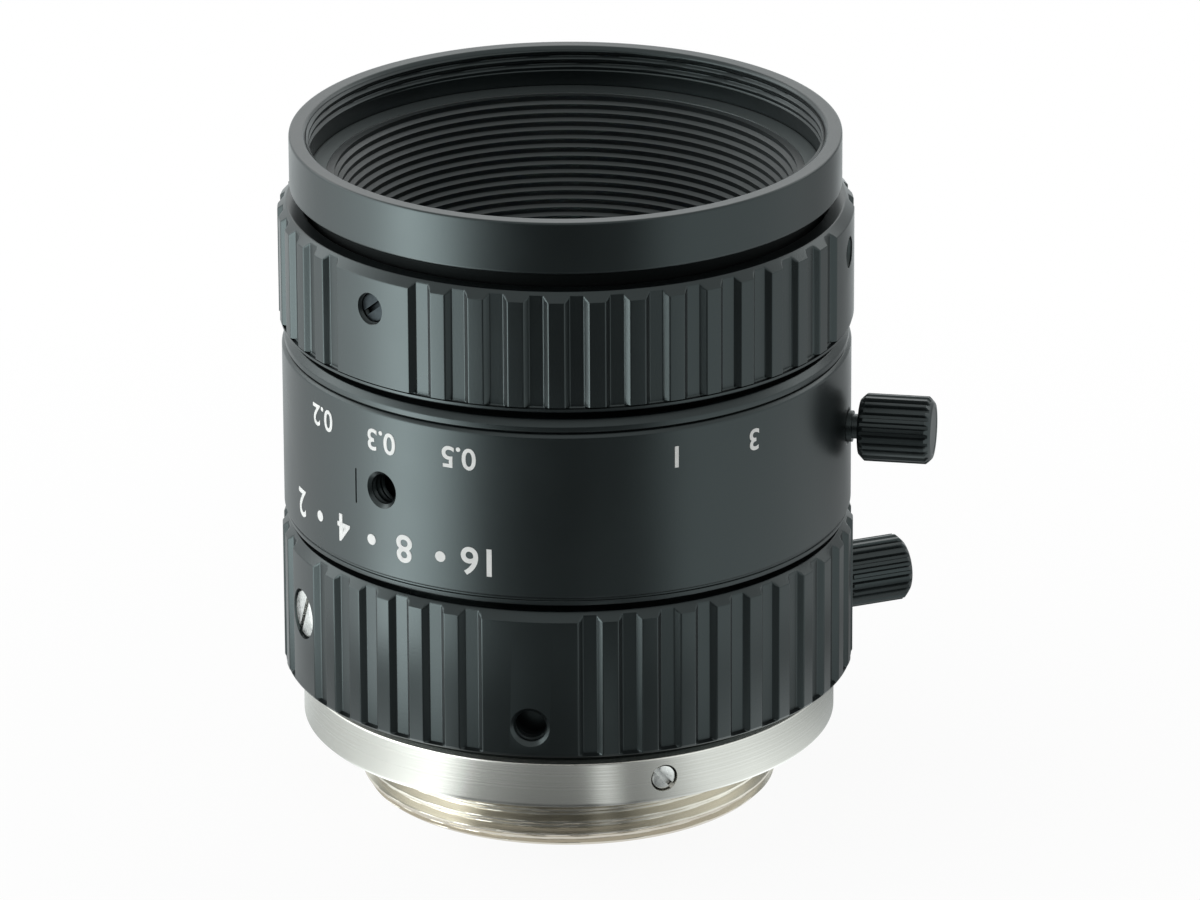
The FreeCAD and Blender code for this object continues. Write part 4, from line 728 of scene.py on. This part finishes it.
# Drive screw: a bare steel screw with a round slotted head. It sits in a pocket of the iris ring, and its
# shank reaches through the barrel's sleeve into the cam ring's fork, so that the cam turns with the ring.
SHANK_RADIUS, DRIVE_HEAD_RADIUS = 0.75, 1.5
DRIVE_TIP, DRIVE_END = 12.45, 17.2
drive_outline = ((0, DRIVE_TIP), (SHANK_RADIUS, DRIVE_TIP), (SHANK_RADIUS, DRIVE_SEAT),
                 (DRIVE_HEAD_RADIUS, DRIVE_SEAT), (DRIVE_HEAD_RADIUS, DRIVE_END - 0.15),
                 (DRIVE_HEAD_RADIUS - 0.06, DRIVE_END - 0.06), (DRIVE_HEAD_RADIUS - 0.15, DRIVE_END), (0, DRIVE_END))
drive_slot = slot_bar(width=0.4, depth_from=16.7, depth_to=18.0, length=4.0, tilt=62)
drive_screw = skin("drive_screw", radial(turned(drive_outline, columns=64), DRIVE_ANGLE, drive_level), loop=False)
cut(drive_screw, skin("drive_slot", radial(drive_slot, DRIVE_ANGLE, drive_level), loop=False))
fit(drive_screw, bright_steel, "iris_ring", "steel_screw", "iris_drive_screw")

# Focus ring: the fluted ring under the front ring, with the same finish as the iris ring. It is fixed on the
# focus thread's brass sleeve by a slotted screw in each panel, and has a plain rim at its foot.
FOCUS_PANEL = -42.0
FOCUS_BORE, FOCUS_MOUTH = 15.55, 15.95
focus_panels = [FOCUS_PANEL + turn for turn in PANEL_TURNS]
focus_screw_level = focus_high - 2.44
focus_foot = focus_low - 0.14
helicoid_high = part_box("helicoid_sleeve")[1].z / MM
focus_ring = skin("focus_grip", grip_grid((
    (FOCUS_BORE, focus_foot), (GRIP_RADIUS, focus_foot), (GRIP_RADIUS, focus_high - GRIP_CHAMFER),
    (GRIP_RADIUS - GRIP_CHAMFER, focus_high), (FOCUS_MOUTH, focus_high), (FOCUS_MOUTH, helicoid_high),
    (FOCUS_BORE, helicoid_high),
), flute_angles(FOCUS_PANEL, missing=()), rim=0.22, line_depth=0.3))
focus_hole = threaded_hole(HOLE_START, GRIP_RADIUS, radius=0.96, sink=0.05)
cut(focus_ring, skin("focus_ring_holes", *around(focus_hole, focus_panels, focus_screw_level), loop=False))
fit(focus_ring, satin_black, "focus_ring", "black_anodised", "focus_ring")

# Focus set screws: short steel screws with a driver slot, blackened by oxide to a dull sheen and screwed in
# until their ends lie a little below the panels.
black_oxide, tree, shader = principled("black_oxide_steel", {"Metallic": 1.0})
place = add(tree, "ShaderNodeTexCoord")
grain = add(tree, "ShaderNodeTexNoise", {"Vector": place.outputs["Object"], "Scale": 6 / MM, "Detail": 3.0})
vary(tree, shader, grain.outputs["Fac"], "#171a1c", "#2c3133", rough_from=0.32, rough_to=0.5)
focus_screw = screw_grid(tip=15.53, end=17.05, radius=0.89)
focus_slot = slot_bar(width=0.34, depth_from=16.5, depth_to=18.0, length=3.0, tilt=38)
focus_screws = skin("focus_screws", *around(focus_screw, focus_panels, focus_screw_level), loop=False)
cut(focus_screws, skin("focus_screw_slots", *around(focus_slot, focus_panels, focus_screw_level), loop=False))
fit(focus_screws, black_oxide, "focus_ring", "black_screw", "focus_set_screws")

# Lock screws: anodised aluminium thumbscrews with a straight knurl, a turned end face and a thin neck. Their
# tips press on the focus thread's brass sleeve and on the barrel's sleeve.
RIDGES = 22
RIDGE_DEPTH = 0.2
HEAD_RADIUS, HEAD_LENGTH = 2.05, 4.45
TIP_RADIUS, NECK_RADIUS = 0.95, 0.75
NECK_START, HEAD_START = 1.95, 2.4
FOCUS_LOCK_ANGLE, FOCUS_LOCK_TIP = 80.0, 15.55
IRIS_LOCK_TIP = 15.45


def thumbscrew(tip):
    """Grid of a lock screw about its own axis. Its head's radius is the smaller of the knurl, the head radius
    less a flat-topped wave of the angle, and the outline with its chamfers."""
    neck, head = tip + NECK_START, tip + HEAD_START
    end = head + HEAD_LENGTH
    outline = np.array([
        (0, tip), (0.8, tip), (TIP_RADIUS, tip + 0.15), (TIP_RADIUS, neck - 0.02), (TIP_RADIUS, neck),
        (NECK_RADIUS, neck), (NECK_RADIUS, head),
        (0.77, head), (1.7, head), (1.84, head + 0.14), (1.95, head + 0.25), (HEAD_RADIUS, head + 0.36),
        (HEAD_RADIUS, head + 0.45), (HEAD_RADIUS, end - 0.45), (HEAD_RADIUS, end - 0.36),
        (1.95, end - 0.25), (1.84, end - 0.14), (1.72, end - 0.03), (1.66, end),
        (1.45, end), (1.40, end - 0.03), (0.3, end - 0.03), (0, end - 0.03),
    ])
    angle = np.linspace(0, math.tau, RIDGES * 12, endpoint=False)
    wave = np.clip(0.5 + 1.1 * np.cos(RIDGES * angle), 0, 1)
    knurl = HEAD_RADIUS - RIDGE_DEPTH * (1 - wave)
    radius = np.minimum(outline[:, :1], knurl[None, :])
    return np.stack([radius * np.cos(angle), radius * np.sin(angle), np.repeat(outline[:, 1:], len(angle), 1)], -1)


focus_lock = skin("focus_thumbscrew", radial(thumbscrew(FOCUS_LOCK_TIP), FOCUS_LOCK_ANGLE, barrel_hole_level),
                  loop=False, crease=28)
iris_lock = skin("iris_thumbscrew", radial(thumbscrew(IRIS_LOCK_TIP), iris_panels[1], iris_hole_level),
                 loop=False, crease=28)
knurl_black = black_anodising("glossy_black_anodised_knurl", gloss_low=0.24, gloss_high=0.34,
                              dark="#0d0f10", pale="#1b1f20", marks=0.2)
fit(focus_lock, knurl_black, "focus_lock", "lock_screw", "focus_lock_screw")
fit(iris_lock, knurl_black, "iris_lock", "lock_screw", "iris_lock_screw")

# Front ring: anodised aluminium, turned and screwed on the neck of the lens cell. Its mouth has the filter
# thread, under a smooth land with a small chamfer.
FILTER_PITCH = 0.5
FILTER_DEPTH = 0.17
FILTER_RADIUS = 15.4
FILTER_LENGTH = 1.3
FILTER_ROWS, FADE_LENGTH = 60, 0.15
GROOVE_FLAT, GROOVE_FLANK = 0.12, 0.30
LAND_RADIUS, LAND_CHAMFER, THREAD_DROP = 15.76, 0.19, 0.21
FRONT_RADIUS, NECK_SOCKET = 16.6, 15.55
front_low, front_high = (corner.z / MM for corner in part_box("front_ring"))
neck_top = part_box("cell_barrel")[1].z / MM
ring_outline = rounded((
    (FILTER_RADIUS, neck_top), (NECK_SOCKET, neck_top), (NECK_SOCKET, front_low), (FRONT_RADIUS, front_low),
    (FRONT_RADIUS, front_high), (LAND_RADIUS, front_high),
    (FILTER_RADIUS + FILTER_DEPTH, front_high - LAND_CHAMFER),
), ease=0.14)
thread_top = front_high - THREAD_DROP
filter_level = np.linspace(thread_top, thread_top - FILTER_LENGTH, FILTER_ROWS)
ring_outline = np.vstack([ring_outline, np.stack([np.full(FILTER_ROWS, FILTER_RADIUS), filter_level], -1),
                          [(FILTER_RADIUS, filter_level[-1] - 0.03)]])
ring_grid = turned(ring_outline, THREAD_COLUMNS)
filter_phase = (filter_level[:, None] / FILTER_PITCH + round_share[None]) % 1
groove = np.clip((np.abs(filter_phase - 0.5) - GROOVE_FLAT) / GROOVE_FLANK, 0, 1)
thread_fade = np.clip((filter_level - filter_level[-1]) / FADE_LENGTH, 0, 1)[:, None]
ring_grid[-1 - FILTER_ROWS:-1, :, :2] *= (1 + FILTER_DEPTH * groove * thread_fade / FILTER_RADIUS)[..., None]
front_ring = skin("filter_ring", ring_grid)
fit(front_ring, satin_black, "lens_cell", "black_anodised", "front_ring")

# Baffle: an aluminium cone behind the filter thread, turned into fine ridges and dyed a dead black, which
# swallows stray light before it reaches the glass. Each ridge is a narrow crest over a deeper slope.
RIB_COUNT = 17
CONE_RADIUS, MOUTH_RADIUS, CONE_DROP = 13.9, 10.9, 0.03
SEAT_RADIUS, RIM_RADIUS, RIM_LOW = 13.75, 14.39, 32.57
CREST_DEPTH, CREST_HEIGHT = 0.02, 0.04
GROOVE_DEPTH, GROOVE_HEIGHT = 0.07, 0.33
baffle_low, baffle_high = (corner.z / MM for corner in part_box("front_baffle"))
cone_top = baffle_high - CONE_DROP
taper = (CONE_RADIUS - MOUTH_RADIUS) / RIB_COUNT
rib_pitch = (cone_top - baffle_low) / RIB_COUNT
rib = np.arange(RIB_COUNT)[:, None]
crest_radius = CONE_RADIUS - rib * taper
crest_level = cone_top - rib * rib_pitch
rib_points = np.stack([
    np.hstack([crest_radius, crest_radius + CREST_DEPTH, crest_radius + GROOVE_DEPTH]),
    np.hstack([crest_level, crest_level - CREST_HEIGHT, crest_level - GROOVE_HEIGHT]),
], -1).reshape(-1, 2)
baffle_body = rounded(((MOUTH_RADIUS, baffle_low), (SEAT_RADIUS, baffle_low), (SEAT_RADIUS, RIM_LOW),
                       (RIM_RADIUS, RIM_LOW), (RIM_RADIUS, baffle_high)), ease=0.03)
baffle_outline = np.vstack([
    baffle_body[len(baffle_body) // 5:],
    rib_points,
    [(MOUTH_RADIUS, baffle_low + 0.02)],
])
baffle = skin("ribbed_baffle", turned(baffle_outline, columns=288), crease=25)
# The dye is as dark as the rings', but the ridges' cut faces are left rougher, so they shine less.
dead_black, tree, shader = principled("dead_black_anodised_ridges", {
    "IOR": 1.45, "Specular IOR Level": 0.9, "Specular Tint": linear("#f2fdfd")})
place = add(tree, "ShaderNodeTexCoord")
grain = add(tree, "ShaderNodeTexNoise", {"Vector": place.outputs["Object"], "Scale": 5 / MM, "Detail": 3.0})
vary(tree, shader, grain.outputs["Fac"], "#080b0c", "#101415", rough_from=0.36, rough_to=0.5, bump=(0.2, 0.02))
fit(baffle, dead_black, "lens_cell", "black_baffle", "front_baffle")

# First element: ground and polished glass with an anti-reflection coating, held at the foot of the cone.
# Each surface is a cap of a sphere: rise = root(ball^2 - r^2) - root(ball^2 - edge^2).
glass_low, glass_top = (corner.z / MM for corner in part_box("front_element_1"))
GLASS_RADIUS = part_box("front_element_1")[1].x / MM
FRONT_RISE, REAR_HOLLOW, GLASS_RIM = 0.9, 0.35, 0.4


def cap_rise(radius, edge, rise):
    """Height over its edge of a spherical cap with that edge radius and rise, at each radius."""
    ball = (edge ** 2 + rise ** 2) / (2 * rise)
    return np.sqrt(ball ** 2 - radius ** 2) - math.sqrt(ball ** 2 - edge ** 2)


across = np.linspace(0, 1, 40)
front_radius = GLASS_RADIUS * across[::-1]
rear_edge = GLASS_RADIUS - GLASS_RIM
rear_radius = rear_edge * across
element_outline = np.vstack([
    np.stack([rear_radius, glass_low + cap_rise(rear_radius, rear_edge, REAR_HOLLOW)], -1),
    [(GLASS_RADIUS - 0.05, glass_low), (GLASS_RADIUS, glass_low + 0.05)],
    np.stack([front_radius, glass_top - FRONT_RISE + cap_rise(front_radius, GLASS_RADIUS, FRONT_RISE)], -1),
])
front_glass = skin("first_element", turned(element_outline, columns=160), loop=False, crease=35)
# Optical glass is clear, and its coating turns what little it mirrors to a dull violet and green.
optical_glass, tree, shader = principled("coated_optical_glass", {
    "Transmission Weight": 1.0, "IOR": 1.6, "Thin Film Thickness": 125.0, "Thin Film IOR": 1.38})
place = add(tree, "ShaderNodeTexCoord")
haze = add(tree, "ShaderNodeTexNoise", {"Vector": place.outputs["Object"], "Scale": 0.4 / MM, "Detail": 2.0})
vary(tree, shader, haze.outputs["Fac"], "#eef6f4", "#f8fbfa", rough_from=0.0, rough_to=0.02)
fit(front_glass, optical_glass, "lens_cell", "coated_glass", "front_element_1")

# Inner pieces keep their solids. Cells, rings and spacers are dyed a flat black inside the light path, the
# cam is bare brass, the key is bare steel, and the blades are blackened spring steel. The lens cell's neck
# and the brass helicoid get a near-black colour without gloss, painted shade for the gaps between the rings.
SHINY_WITHIN, GAP_SHADE_BEYOND = 15.3, 15.4
inner_black = black_anodising("matt_black_anodised_aluminium", gloss_low=0.5, gloss_high=0.62,
                              dark="#0b0d0e", pale="#131617", marks=0.5)
# Painted shade: a tone darker than the other inner black, for the neck and helicoid seen in the gaps.
gap_shade_black = black_anodising("black_with_painted_gap_shade", gloss_low=0.55, gloss_high=0.65,
                             dark="#040505", pale="#0a0b0b", marks=0.5)
tree = gap_shade_black.node_tree
# Painted shade: beyond the neck's radius the reflection is dulled too, standing in for the shade in the gaps.
place = add(tree, "ShaderNodeTexCoord")
flat = add(tree, "ShaderNodeVectorMath", {0: place.outputs["Object"], 1: (1, 1, 0)}, operation="MULTIPLY")
reach = add(tree, "ShaderNodeVectorMath", {0: flat.outputs[0]}, operation="LENGTH")
shine = add(tree, "ShaderNodeMapRange", {"Value": reach.outputs["Value"], "From Min": SHINY_WITHIN * MM,
                                         "From Max": GAP_SHADE_BEYOND * MM, "To Min": 1.0, "To Max": 0.1})
tree.links.new(shine.outputs[0], tree.nodes["Principled BSDF"].inputs["Specular IOR Level"])
bare_brass, tree, shader = principled("turned_brass", {"Metallic": 1.0})
vary(tree, shader, lathe_marks(tree, pitch=0.12, fine=3.0), "#a8853f", "#cba75c", rough_from=0.25, rough_to=0.4)
blued_steel, tree, shader = principled("blackened_blade_steel", {"Metallic": 0.8})
place = add(tree, "ShaderNodeTexCoord")
grain = add(tree, "ShaderNodeTexNoise", {"Vector": place.outputs["Object"], "Scale": 3 / MM, "Detail": 3.0})
vary(tree, shader, grain.outputs["Fac"], "#1d1f22", "#33363a", rough_from=0.36, rough_to=0.5)
INNER_FINISHES = {
    gap_shade_black: ("cell_barrel", "helicoid_sleeve"),
    inner_black: ("front_cell", "front_spacer", "front_retaining_ring", "iris_base", "rear_cell",
                  "rear_spacer", "rear_retaining_ring"),
    optical_glass: ("front_element_2", "front_element_3", "rear_element_1", "rear_element_2", "rear_element_3"),
    bare_brass: ("iris_cam_ring",),
    bright_steel: ("guide_key",),
    blued_steel: tuple(f"iris_blade_{number}" for number in range(1, 7)),
}
for finish, names in INNER_FINISHES.items():
    for name in names:
        nodes[name].data.materials.clear()
        nodes[name].data.materials.append(finish)
